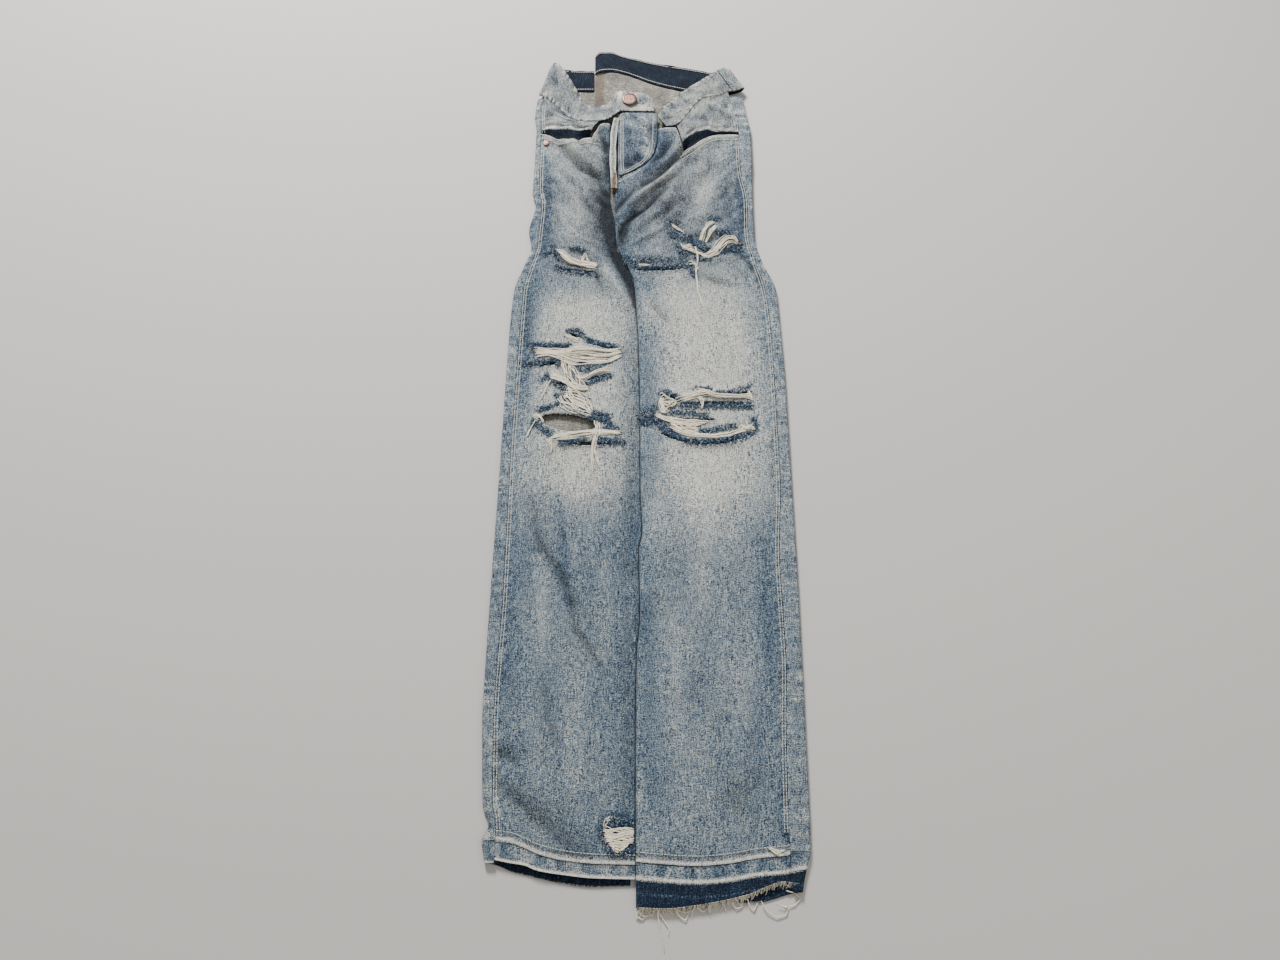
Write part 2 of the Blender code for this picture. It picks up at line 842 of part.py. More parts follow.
def make_hem(leg, finish):
    """The hem's front layer and its back layer, below the hem seam."""
    for side, column in (("front", 2), ("back", 3)):
        rows = []
        for share in (1.0, 0.5, 0.0):
            def line(x, share=share, column=column):
                seam = read(leg.hem, x, 1) - SEAM_GAP
                return seam + (read(leg.hem, x, column) - seam) * share
            if side == "front":
                rows.append(front_row(leg, toward(leg, HEM_BASE, line, 1.0)))
            else:
                def inner(y):
                    return leg.inner(y) + leg.outward * (EDGE_FOLD + DENIM + SEAM_GAP)
                rows.append(back_row(leg, BACK_COLUMNS, back_toward(leg, HEM_BASE, line, 0.0), inner))
        wall(f"hem_{leg.name.split('_')[1]}_{side}", rows, finish)


def make_yoke(name, leg, finish, columns):
    """A yoke, from the yoke seam up to the waistband's lower edge."""
    def upper(x):
        return read(YOKE_TOPS[name], x, 1)

    def inner(y):
        return seat_seam(y) + leg.outward * SEAM_GAP

    rows = []
    for share in (0.0, 0.25, 0.5, 0.75, 1.0):
        def place_y(t, share=share):
            y = YOKE_SEAM
            for _ in range(8):
                end = read(leg.sections, y, 1) - leg.outward * EDGE_FOLD
                wanted = YOKE_SEAM + (upper(end + (inner(y) - end) * t) - YOKE_SEAM) * share
                y += (wanted - y) * 0.6
            return y
        rows.append(back_row(leg, columns, place_y, inner, yoke_lift))
    return wall(name, rows, finish)


def yoke_lift(x, y):
    """The yokes rise to the waistband, and the left one at the centre back."""
    near = ease(y, 455, 478)
    fold = ease(y, 440, 500) * (1.0 - ease(abs(x + 50), 12.0, 40.0))
    return BAND_LIFT * near * (1 - fold) + 3.2 * fold * (1.0 if x > -68 else 0.0)


def make_band(name, stations, finish):
    """Half a waistband, a doubled strip that turns over at the side."""
    rows = []
    for low_x, low_y, low_z, up_x, up_y, up_z in stations:
        low = Vector((low_x, low_y, low_z))
        up = Vector((up_x, up_y, up_z))
        rows.append([low.lerp(up, t) for t in (0.0, 0.5, 1.0)])
    return wall(name, rows, finish, DOUBLED)


def make_facing(name, leg, band, mouth, ends, finish):
    """A pocket facing, from the waistband down to the mouth and under the lip.

    ends gives x of its inner end at the mouth and at the waistband."""
    front = sorted((row[0], row[1], row[2]) for row in band if row[2] > 8.4)
    low_y, high_y = read(mouth, ends[0], 1), read(front, ends[1], 1)

    def place(t, rule):
        """A point at a fraction across, where rule gives y and z at an x."""
        y = YOKE_SEAM
        for _ in range(10):
            seam = read(leg.sections, max(y, YOKE_SEAM), 2) - leg.outward * 0.6
            end = ends[0] + (ends[1] - ends[0]) * clamp((y - low_y) / (high_y - low_y), 0.0, 1.0)
            x = seam + (end - seam) * t
            wanted, z = rule(x)
            y += (wanted - y) * 0.6
        return Vector((x, wanted, z))

    def high(x):
        return read(front, x, 1) - 1.7, read(front, x, 2)

    def roll(x):
        y = max(read(mouth, x, 2) + 2.0, read(mouth, x, 1) + 6.0)
        return y, leg.top(x, y) - DENIM / 2 + 0.5

    def between(share):
        def rule(x):
            one, two = high(x), roll(x)
            z = one[1] + (two[1] - one[1]) * share + 1.8 * math.sin(math.pi * share)
            return one[0] + (two[0] - one[0]) * share, z
        return rule

    def tuck(x):
        lip = read(mouth, x, 1)
        return lip + 1.6, leg.top(x, lip) - DENIM / 2 - 2.4

    def deep(x):
        lip = read(mouth, x, 1)
        return lip - 7.0, leg.top(x, lip - 7.0) - DENIM / 2 - 3.6

    rules = (high, between(0.35), between(0.7), roll, tuck, deep)
    fractions = [k / FACING_COLUMNS for k in range(FACING_COLUMNS + 1)]
    return wall(name, [[place(t, rule) for t in fractions] for rule in rules], finish)


def fly_height(x, y):
    """The upper surface of the button stand."""
    z = STAND_HEIGHT + 0.8 * math.sin((x + 36) / 55 * math.pi)
    for bump_x, bump_y in BUMPS:
        near = math.hypot(x - bump_x, y - bump_y) / BUMP_RADIUS
        z += BUMP_HEIGHT * math.exp(-near * near * 1.6)
    return z


def make_stand(finish):
    """The button stand, round at its lower right, up to the waistband."""
    tall, wide = 12, 6
    rows = []
    for k in range(tall + 1):
        level = STAND_FOOT + (STAND_HEAD - STAND_FOOT) * k / tall
        right = read(STAND_EDGE, level, 1) - SEAM_GAP - LAYER_CLEAR
        row = []
        for i in range(wide + 1):
            x = STAND_INNER + (right - STAND_INNER) * i / wide
            y = level - 5.0 * (k / tall) ** 4 * (1.0 - ease(x, -36.0, -28.0))
            row.append(Vector((x, y, fly_height(x, y) - DENIM / 2)))
        rows.append(row)
    return wall("fly_stand", rows, finish)


def make_fly_edge(finish):
    """The raised, doubled edge beside the button stand."""
    steps = 12
    rows = []
    for k in range(steps + 1):
        y = FLY_EDGE_FOOT + (FLY_EDGE_HEAD - FLY_EDGE_FOOT) * k / steps
        z = FLY_EDGE_HEIGHT + 0.6 * math.cos(k)
        rows.append([
            Vector((FLY_EDGE_X + side, y, z - abs(side) * 0.12))
            for side in (-FLY_EDGE_HALF, 0.0, FLY_EDGE_HALF)
        ])
    return wall("fly_edge", rows, finish, DOUBLED)


def plate(name, outline, low, high, finish):
    """A flat plate from an outline."""
    bm = bmesh.new()
    for x, y in outline:
        bm.verts.new((x * MM, y * MM, low * MM))
    face = bm.faces.new(bm.verts)
    lifted = bmesh.ops.extrude_face_region(bm, geom=[face])["geom"]
    top = [item for item in lifted if isinstance(item, bmesh.types.BMVert)]
    bmesh.ops.translate(bm, verts=top, vec=(0, 0, (high - low) * MM))
    bmesh.ops.recalc_face_normals(bm, faces=bm.faces)
    mesh = bpy.data.meshes.new(name)
    bm.to_mesh(mesh)
    bm.free()
    return link_object(name, mesh, finish)


def make_back_pockets(finish):
    """Patch pockets on the backs, pointed at the bottom."""
    for name, x, mouth, width, side, point in BACK_POCKETS:
        half = width / 2
        outline = (
            (x - half, mouth),
            (x - half + POCKET_TAPER, mouth - side),
            (x, mouth - point),
            (x + half - POCKET_TAPER, mouth - side),
            (x + half, mouth),
        )
        plate(name, outline, 0.0, POCKET_WALL, finish)


def make_loops(finish):
    """Belt loops: three under the back of the waistband, one at the side."""
    for name, x, low, high in BACK_LOOPS:
        half = LOOP_WIDTH / 2
        outline = ((x - half, low), (x + half, low), (x + half, high), (x - half, high))
        plate(name, outline, 0.0, LOOP_WALL, finish)
    first, second = BAND_LEFT[SIDE_LOOP_STATION], BAND_LEFT[SIDE_LOOP_STATION - 1]
    rows = []
    for fraction, off in SIDE_LOOP:
        start = Vector(first[:3]).lerp(Vector(first[3:]), fraction)
        along = Vector(second[:3]).lerp(Vector(second[3:]), fraction) - start
        up_band = Vector(first[3:]) - Vector(first[:3])
        normal = along.cross(up_band).normalized()
        if normal.z < 0:
            normal.negate()
        start += along * 0.1 + normal * ((DOUBLED + LOOP_WALL) / 2 + off)
        rows.append([start, start + along.normalized() * LOOP_WIDTH])
    wall("belt_loop_left_side", rows, finish, LOOP_WALL)


def turned(name, centre, profile, finish):
    """A round piece: each profile row is a radius and a height."""
    bm = bmesh.new()
    verts = [bm.verts.new((radius * MM, 0, height * MM)) for radius, height in profile]
    edges = [bm.edges.new(pair) for pair in zip(verts, verts[1:])]
    bmesh.ops.spin(bm, geom=verts + edges, axis=(0, 0, 1), cent=(0, 0, 0),
                   angle=2 * math.pi, steps=20, use_merge=True)
    bmesh.ops.remove_doubles(bm, verts=bm.verts, dist=0.00001)
    bmesh.ops.recalc_face_normals(bm, faces=bm.faces)
    mesh = bpy.data.meshes.new(name)
    bm.to_mesh(mesh)
    bm.free()
    mesh.shade_smooth()
    mesh.set_sharp_from_angle(angle=math.radians(40))
    made = link_object(name, mesh, finish)
    made.location = Vector(centre) * MM
    return made


def make_metal(finish):
    """The waist button on its band and the rivet at the right pocket."""
    band_top = 10 + DOUBLED / 2
    turned("waist_button", (*WAIST_BUTTON, band_top + 0.5), BUTTON_PROFILE, finish)
    turned("rivet_right", (*RIVET, RIGHT.top(*RIVET) + 0.9), RIVET_PROFILE, finish)


def strand_length(number):
    """Strands are of uneven length, with a few long ones."""
    return 3.5 + 5.0 * abs(math.sin(number * 1.7)) + 6.0 * max(0.0, math.sin(number * 0.9)) ** 6


def make_fringe(finish):
    """Frayed yarns along the raw hem: a narrow strip with a row of strands."""
    bm = bmesh.new()
    corners = []
    for k in range(2 * FRINGE_STRANDS + 1):
        x = FRINGE_START + (FRINGE_END - FRINGE_START) * k / (2 * FRINGE_STRANDS)
        near = read(LEFT_HEM, x, 2) - FRINGE_GAP
        far = near - FRINGE_STRIP
        corners.append([
            bm.verts.new((x * MM, y * MM, z * MM))
            for y, z in ((near, FRINGE_LOW), (far, FRINGE_LOW), (far, FRINGE_HIGH), (near, FRINGE_HIGH))
        ])
    roots = []
    for k, (one, two) in enumerate(zip(corners, corners[1:])):
        for i in range(4):
            j = (i + 1) % 4
            face = bm.faces.new((one[i], two[i], two[j], one[j]))
            if i == 1 and k % 2 == 0:
                roots.append(face)
    bm.faces.new(corners[0])
    bm.faces.new(corners[-1][::-1])
    bmesh.ops.recalc_face_normals(bm, faces=bm.faces)
    for number, current in enumerate(roots):
        lean = 1.6 * math.sin(number * 0.45 + 1.0)
        drop = 2.4 if number > 20 else 4.2
        for step in (0.45, 0.55):
            made = bmesh.ops.extrude_face_region(bm, geom=[current])["geom"]
            bmesh.ops.delete(bm, geom=[current], context="FACES_ONLY")
            current = next(item for item in made if isinstance(item, bmesh.types.BMFace))
            centre = current.calc_center_median()
            reach = Vector((lean, -strand_length(number), -drop)) * (step * MM)
            for vert in current.verts:
                vert.co = centre + (vert.co - centre) * STRAND_TAPER + reach
    bmesh.ops.recalc_face_normals(bm, faces=bm.faces)
    mesh = bpy.data.meshes.new("hem_fringe_left")
    bm.to_mesh(mesh)
    bm.free()
    return link_object("hem_fringe_left", mesh, finish)


def centre_origin():
    """Move every piece so that the origin is under the middle of the part."""
    for thing in bpy.data.objects:
        thing.location += Vector((*ORIGIN_SHIFT, 0.0)) * MM


RIGHT = Leg("front_right", RIGHT_SECTIONS, RIGHT_FOLDS, RIGHT_HEM, -1)
LEFT = Leg("front_left", LEFT_SECTIONS, LEFT_FOLDS, LEFT_HEM, 1)


def right_lip(x):
    """The right front's upper edge: the pocket lip, then up to the waistband."""
    if x < RIGHT_RISE_TOP[0][0]:
        return read(RIGHT_MOUTH, x, 1)
    return read(RIGHT_RISE_TOP, x, 1)


def left_lip(x):
    """The left front's upper edge: below the buttonhole end, then the lip."""
    if x > LEFT_RISE_TOP[-1][0]:
        return read(LEFT_MOUTH, x, 1)
    return read(LEFT_RISE_TOP, x, 1)


def main():
    clear_scene()
    faded = material("faded_denim", FADED)
    mid = material("mid_denim", MID)
    navy = material("unfaded_denim", NAVY)
    greige = material("denim_reverse", GREIGE)
    copper = material("copper", COPPER, 0.35, 1.0)
    cotton = material("cotton_yarn", COTTON)
    make_front(RIGHT, right_lip, RIGHT_GAPS, faded)
    make_front(LEFT, left_lip, LEFT_GAPS, faded)
    make_back("back_right", RIGHT, mid)
    make_back("back_left", LEFT, mid)
    make_yoke("yoke_right", RIGHT, greige, 5)
    make_yoke("yoke_left", LEFT, greige, 9)
    make_band("waistband_right", BAND_RIGHT, navy)
    make_band("waistband_left", BAND_LEFT, navy)
    make_facing("pocket_facing_right", RIGHT, BAND_RIGHT, RIGHT_MOUTH, (-75, -60), mid)
    make_facing("pocket_facing_left", LEFT, BAND_LEFT, LEFT_MOUTH, (54, 44), mid)
    make_stand(mid)
    make_fly_edge(faded)
    make_hem(RIGHT, mid)
    make_hem(LEFT, navy)
    make_back_pockets(mid)
    make_loops(mid)
    make_metal(copper)
    make_fringe(cotton)
    centre_origin()


main()
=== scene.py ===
"""Looks of the ripped jeans, laid out as a Blender add-on and run as a script.

The jeans lie on their back with the waist open. Each sewn piece is a thin shell
on its solid's form, with holes, threads, frays and stitches of its own.
Tables are in millimetres and MM turns them into metres.
"""

import math
import random

import bmesh
import bpy
from mathutils import Euler, Matrix, Vector, noise


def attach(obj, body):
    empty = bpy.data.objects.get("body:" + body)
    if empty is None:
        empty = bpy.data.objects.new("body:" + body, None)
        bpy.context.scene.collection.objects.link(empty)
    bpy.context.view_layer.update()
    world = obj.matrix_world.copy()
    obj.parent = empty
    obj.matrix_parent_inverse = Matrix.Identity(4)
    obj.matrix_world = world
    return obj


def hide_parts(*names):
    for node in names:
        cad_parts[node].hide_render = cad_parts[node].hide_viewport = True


bl_info = {
    "name": "Ripped jeans",
    "version": (1, 0, 0),
    "blender": (4, 5, 0),
    "location": "View3D > Sidebar > Jeans",
    "description": "Dresses the packed jeans with denim, threads, stitches and metal",
    "category": "Object",
}

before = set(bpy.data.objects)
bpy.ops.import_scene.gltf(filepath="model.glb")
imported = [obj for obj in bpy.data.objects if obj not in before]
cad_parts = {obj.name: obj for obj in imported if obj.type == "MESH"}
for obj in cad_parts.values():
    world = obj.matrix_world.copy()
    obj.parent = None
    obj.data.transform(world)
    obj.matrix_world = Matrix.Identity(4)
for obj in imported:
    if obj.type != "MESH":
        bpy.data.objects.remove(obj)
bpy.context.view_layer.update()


def lined(rows):
    """A table's rows, in which each list of x, y, x, y becomes pairs of x and y."""
    def pairs(part):
        return tuple(zip(part[::2], part[1::2])) if isinstance(part, tuple) else part

    return tuple(tuple(pairs(part) for part in row) for row in rows)


MM = 0.001

# Cloth, in millimetres
DENIM = 1.5
DOUBLED = 2.3
SEAM_GAP = 0.3
EDGE_FOLD = 3.2
LAYER_CLEAR = 0.4
CROTCH_CLEAR = 1.9
POCKET_LIFT = 1.7
BAND_LIFT = 1.6

# The origin is under the middle of the whole part: how far the tables' own
# origin is moved to put it there
ORIGIN_SHIFT = (0.5, 5.2)

# Places along Y where the sections change
CROTCH = 212.0
YOKE_SEAM = 400.0
HEM_START = -455.0
HEM_BASE = -500.0
HIP_START = 350.0

# Each row is a section across the right leg: place along Y, outermost reach,
# outseam as it shows on top, and the upper surface's height at the outseam,
# the middle and the inner edge
RIGHT_SECTIONS = (
    # y, outer, seam, z_seam, z_middle, z_inner
    (-530, -156, -149, 6, 6.5, 5), (-500, -160, -149, 6.5, 7.5, 5.5),
    (-484, -163, -149, 6.5, 8, 5.5), (-470, -157, -149, 6.5, 8.5, 5.5),
    (-450, -164, -154, 6.5, 9, 5.5), (-410, -167, -156, 6.5, 9.5, 5.5),
    (-350, -170, -158, 6.5, 9, 5.5), (-230, -169, -155, 6.5, 9, 5), (-90, -167, -155, 7, 9.5, 5),
    (90, -165, -152, 7.5, 10, 5), (156, -162, -150, 8, 10.5, 5), (190, -152, -143, 8.5, 11, 5.5),
    (221, -143, -135, 8.5, 12, 6), (245, -147, -134, 8.5, 12.5, 6.5),
    (286, -140, -132, 8.5, 12.5, 7), (305, -145, -136, 9, 12.5, 8), (350, -144, -137, 9, 13, 9),
    (408, -144, -137, 9.5, 13.5, 9.5), (430, -147, -138, 9.5, 13.5, 9.5),
    (475, -143, -134, 9.5, 13.5, 9.5),
)
LEFT_SECTIONS = (
    # y, outer, seam, z_seam, z_middle, z_inner
    (-548, 151, 144, 6, 6.5, 6.5), (-520, 157, 144, 6, 7, 7), (-490, 165, 144, 6.5, 8, 8),
    (-376, 167, 147, 6.5, 8.5, 8.5), (-300, 168, 151, 6.5, 8.5, 8.5),
    (-200, 169, 150, 6.5, 8.5, 8.5), (-90, 169, 156, 7, 9, 8.5), (20, 169, 156, 7.5, 9, 8.5),
    (99, 167, 155, 8, 9.5, 9), (156, 165, 151, 8, 10, 9), (200, 149, 140, 8.5, 11, 9),
    (238, 141, 133, 8.5, 12, 9), (290, 141, 134, 9, 12, 9), (334, 142, 128, 9.5, 12, 9),
    (350, 143, 127, 10, 12, 9), (406, 143, 127, 10, 12.5, 9.5), (440, 138, 120, 10, 12.5, 10),
    (475, 134, 114, 10, 12.5, 10),
)
# Where the left leg's inner edge lies on the right leg, and above the crotch
# the rise, the bottom of the button stand and the front edge
INNER_EDGE = (
    # y, x
    (-550, -9), (-400, -9.5), (-300, -8.5), (-258, -5), (-182, -6), (-160, -2.5), (-110, -4.5),
    (-12, -5), (90, -7), (130, -9.5), (168, -12), (190, -20), (205, -27), (222, -34.5), (260, -37),
    (300, -38), (322, -35.5),
)
STAND_EDGE = (
    # y, x of the button stand's curved lower edge
    (322, -35.5), (331, -28), (340, -12), (350, 2), (368, 14), (395, 19), (480, 19.5),
)
RISE_RIGHT = (
    # y, x of the right front's centre edge
    (222, -35), (262, -38), (300, -44), (360, -44.5), (480, -45),
)
CENTRE_BACK = (
    # y, x of the seat seam
    (215, -36), (260, -27), (330, -24), (400, -45),
)
CENTRE_BACK_END = (520.0, -68.0)

# Each row is one fold of a front: its two ends, its half width and its height,
# a ridge above zero and a trough below
RIGHT_FOLDS = (
    # x1, y1, x2, y2, half width, height
    (-52, 205, -16, 135, 11, 3.2), (-30, 215, -14, 160, 14, -5), (-62, 330, -50, 200, 16, -5),
    (-112, 372, -62, 322, 9, -4), (-100, 385, -55, 345, 8, 5), (-80, 392, -50, 358, 7, -4.5),
    (-70, 400, -48, 372, 7, 4), (-52, 396, -49, 355, 6, -5), (-100, 414, -48, 414, 10, 3.5),
    (-128, 350, -100, 300, 12, 2.5), (-130, 292, -108, 282, 10, -2), (-132, 195, -95, 215, 13, 2.5),
    (-88, 206, -58, 196, 8, -3), (-104, 192, -66, 180, 9, -3), (-110, 60, -50, 74, 10, 2.5),
    (-112, -52, -40, -46, 9, 3), (-100, -8, -60, -16, 10, 3), (-130, -110, -112, -185, 9, -2.6),
    (-112, -185, -78, -245, 9, -3.4), (-78, -245, -40, -315, 9, -3.2),
    (-140, -150, -128, -260, 13, 1.8), (-85, -130, -60, -215, 14, 1.6),
    (-162, -398, -136, -406, 11, -2.6), (-148, -432, -100, -468, 10, -3.4),
    (-100, -468, -60, -492, 9, -2.8), (-128, -420, -80, -450, 11, 1.6),
    (-60, -330, -48, -430, 13, 1.5),
)
LEFT_FOLDS = (
    # x1, y1, x2, y2, half width, height
    (50, 367, 2, 312, 8, -5), (36, 342, -18, 292, 9, 5.5), (30, 311, -22, 262, 7, -5),
    (-20, 262, -30, 226, 6, -4), (60, 322, -6, 258, 13, 4), (-34, 300, -16, 306, 8, -5),
    (-38, 288, -32, 270, 8, -5), (88, 330, 34, 252, 15, -2), (104, 352, 70, 262, 15, 2.2),
    (126, 350, 120, 300, 10, -2.4), (52, 405, 50, 378, 9, 3), (58, 228, 118, 226, 9, -3),
    (62, 238, 112, 246, 9, 3), (20, 204, -18, 202, 8, 2.5), (108, 196, 150, 186, 13, -2.4),
    (70, 168, 104, 160, 9, -1.6), (2, 128, 30, 110, 7, -1.4), (24, 16, 50, 2, 10, 2.5),
    (60, 10, 126, 12, 9, 2.2), (40, -52, 118, -48, 9, 3), (4, -24, 30, -24, 9, -2),
    (20, -150, 6, -250, 14, 1.2), (60, -300, 90, -420, 18, 1.5), (120, -180, 112, -290, 16, -1.2),
    (-2, -490, 60, -486, 12, 1.5),
)

# Each row is one gap that is cut through a front: its centre, its length and
# greatest width, its turn in degrees and how far its middle bows down
RIGHT_GAPS = (
    # x, y, long, wide, turn, bow
    (-84, 184, 50, 6.5, -7, 2), (-84, 197, 36, 4.6, -4, 1), (-84, 91, 15, 4.6, -20, 1),
    (-112, 73, 44, 5, 2, 0), (-52, 77, 40, 5.5, -12, 0), (-118, 52, 46, 5.5, 2, 1),
    (-56, 34, 34, 5, 14, 1), (-98, 24, 26, 4.6, -12, 1), (-89, -26, 66, 21, -8, 2),
    (-52, -17, 24, 5, 4, 1), (-66, -52, 70, 4.6, 1, 3),
)
LEFT_GAPS = (
    # x, y, long, wide, turn, bow
    (82, 217, 44, 6, -3, 6), (117, 221, 18, 5, 10, 1), (24, 187, 68, 5.2, 4, 2),
    (35, 6, 9, 6.5, 0, 0), (106, 12, 48, 4.6, 4, 3), (84, -1, 88, 5.2, 0, 1),
    (13, -24, 22, 4.8, 0, 1), (62, -22, 42, 4.6, 0, 1), (72, -46, 106, 6, 0, 13),
)

# Each row is a station along one half of the waistband, with its lower (sewn)
# edge and its upper edge
BAND_RIGHT = (
    # x_low, y_low, z_low, x_up, y_up, z_up
    (14, 437, 10, 12, 458, 10), (4, 437, 10, 2, 466, 10), (-14, 437, 10, -14, 471, 10),
    (-30, 437, 11, -32, 472, 10), (-40, 428, 12, -42, 462, 8), (-50, 420, 13, -52, 451, 6),
    (-68, 416, 14.5, -68, 449, 6), (-86, 417, 14.5, -79, 452, 8), (-104, 427, 13, -87, 464, 12),
    (-115, 441, 12, -96, 480, 16), (-126, 453, 11, -106, 497, 19), (-135, 462, 10.5, -116, 511, 20),
    (-140, 466, 9, -123, 517, 16), (-142, 469, 6, -125, 520, 9), (-137, 472, 3, -120, 521, 4),
    (-124, 475, 2.75, -112, 520, 2.75), (-106, 478, 2.75, -102, 517, 2.75),
    (-88, 479, 2.75, -88, 516, 2.75), (-68.5, 479, 2.75, -68.5, 516, 2.75),
)
BAND_LEFT = (
    # x_low, y_low, z_low, x_up, y_up, z_up
    (-67, 506, 5, -67.5, 541, 5), (-60, 511, 5, -61, 548, 5), (-45, 513, 4.5, -47, 549, 4.5),
    (-25, 509, 3.5, -30, 543, 3.5), (-10, 503, 2.75, -12, 538, 2.75), (6, 495, 2.75, 8, 532, 2.75),
    (24, 488, 2.75, 34, 526, 2.75), (44, 482, 2.75, 56, 522, 2.75), (70, 476, 2.75, 78, 517, 2.75),
    (98, 473, 2.75, 98, 512, 2.75), (122, 475, 2.9, 112, 511, 3.2), (134, 478, 4.5, 119, 509, 6),
    (137, 479, 7.5, 118, 507, 12), (132, 476, 10, 109, 506, 17), (119, 471, 11, 98, 500, 18.5),
    (107, 465, 12, 84, 490, 17), (96, 461, 12.5, 72, 482, 15.5), (84, 459, 12.5, 62, 475, 14.5),
    (72, 450, 12, 49, 465, 13.5), (61, 434, 11.5, 38, 452, 13), (51, 420, 11, 29, 446, 12.5),
    (42, 413, 10.5, 22, 438, 12), (30, 411, 10.5, 19.6, 427, 11.5),
)

# The pocket mouths: each row gives the front's lip and the lip above it
RIGHT_MOUTH = (
    # x, y of the lower lip, y of the upper lip
    (-140, 401, 403), (-128, 396, 406), (-115, 389, 405), (-100, 386, 404), (-88, 388, 401),
    (-76, 391, 402), (-64, 389, 399), (-56, 386, 394),
)
LEFT_MOUTH = (
    # x, y of the lower lip, y of the upper lip
    (46, 366, 372), (55, 371, 387), (65, 378, 397), (75, 386, 402), (85, 392, 404), (95, 395, 400),
    (110, 397, 399), (128, 397, 398.5),
)

# The fronts' upper edges between the pocket mouth and the fly
RIGHT_RISE_TOP = (
    # x, y
    (-70, 387), (-56, 413), (-44, 418),
)
LEFT_RISE_TOP = (
    # x, y
    (18, 409.4), (30, 409.2), (42, 409), (51, 371),
)

# Hem lines: each row gives the seam of the hem and the ends of its two layers
RIGHT_HEM = (
    # x, y of the seam, y of the front's end, y of the back's end
    (-170, -484, -499, -503), (-150, -484, -502, -507), (-134, -486, -505, -513),
    (-120, -491, -507, -516), (-106, -497, -512, -519), (-80, -503, -516, -524),
    (-50, -506, -519, -527), (-9, -507, -520, -526),
)
LEFT_HEM = (
    # x, y of the seam, y of the front's raw end, y of the back's raw end
    (-10, -504, -546, -540), (20, -506.5, -547, -540), (50, -508, -544, -540),
    (80, -506, -539, -540), (105, -502, -533, -541), (120, -500, -527, -541),
    (135, -499, -523, -538), (150, -496, -524, -534), (172, -493, -521, -530),
)

# The yokes' upper edges, below the waistband and inside its turn
YOKE_TOPS = {
    # x, y
    "yoke_right": (
        (-150, 459), (-140, 460), (-128, 470), (-106, 476.6), (-66, 477.6),
    ),
    "yoke_left": (
        (-68, 501), (-58, 507), (-45, 511), (-25, 507.2), (-10, 501.2), (6, 493.4), (24, 486.6),
        (44, 480.6), (70, 474.6), (98, 471.6), (118, 471), (130, 464), (140, 461), (150, 460),
    ),
}

# The back pockets, over which the backs are raised
BACK_POCKETS = (
    # x, y of the mouth, width, depth
    (-80, 382, 104, 128), (62, 382, 104, 128),
)

# The button stand: its straight inner edge, its foot and its head
STAND_INNER = -33.9
STAND_FOOT = 331.0
STAND_HEAD = 434.3
STAND_HEIGHT = 10.6
# The doubled edge beside it: its middle, its ends, its half width and height
FLY_EDGE_X = -39.6
FLY_EDGE_FOOT = 308.0
FLY_EDGE_HEAD = 424.0
FLY_EDGE_HALF = 4.0
FLY_EDGE_HEIGHT = 11.5

# The button stand's worn bumps, where its buttons sit
BUMPS = (
    # x, y
    (-3, 420), (-4, 403), (-2, 386), (-1, 370),
)
BUMP_RADIUS = 8.0
BUMP_HEIGHT = 1.3

# Where the frayed yarns of the raw hem run, from x to x
FRINGE_START = -6.0
FRINGE_END = 152.0

# Finer creases: how far each is raised or sunk, its half width and its line
RIGHT_CREASES = lined((
    # height, half width, x, y of each point
    (-2.7, 4, (-117, 385, -100, 361, -83, 342, -59, 327, -50, 320)),
    (-3.1, 4, (-98, 405, -83, 381, -64, 359, -49, 352)),
    (2.4, 4.6, (-108, 385, -90, 366, -68, 345, -52, 336)), (2.5, 4, (-80, 392, -62, 372, -50, 364)),
    (-2.4, 3.4, (-60, 398, -52, 380, -49, 350, -46, 310)),
    (-2, 4.6, (-46, 300, -48, 260, -40, 220)), (1.7, 5.8, (-122, 330, -112, 312, -95, 303)),
    (-1.9, 4, (-70, 340, -60, 322, -50, 300)), (2, 4, (-76, 330, -66, 310, -52, 286)),
    (-1.5, 4, (-88, 300, -74, 284, -58, 262)), (1.4, 4.6, (-112, 290, -92, 262, -72, 240)),
    (-1.4, 4.6, (-128, 300, -116, 270, -104, 244)), (-1.5, 4.6, (-136, 322, -118, 316, -104, 306)),
    (-1.8, 4, (-60, 190, -57, 170, -50, 150)), (2.1, 5, (-52, 193, -40, 172, -24, 146, -14, 130)),
    (-1.3, 4, (-40, 206, -30, 185, -16, 160, -10, 138)), (0.7, 6, (-96, 150, -94, 120, -88, 102)),
    (-0.5, 5, (-130, 150, -128, 110, -126, 85)),
    (-0.9, 4, (-130, -120, -115, -180, -95, -205, -80, -240)),
    (-1.1, 3.5, (-80, -240, -75, -270, -60, -290, -40, -320)),
    (0.8, 5, (-112, -160, -92, -196, -70, -235)),
    (-0.9, 4, (-150, -430, -120, -455, -100, -470, -75, -490)),
    (0.7, 5, (-150, -418, -118, -440, -92, -458)), (-0.8, 5, (-160, -390, -135, -410)),
    (0.5, 6, (-60, -340, -55, -400, -50, -450)), (-0.5, 5, (-100, -330, -92, -370, -88, -410)),
    (0.5, 5, (-140, -200, -138, -260, -142, -320)),
))
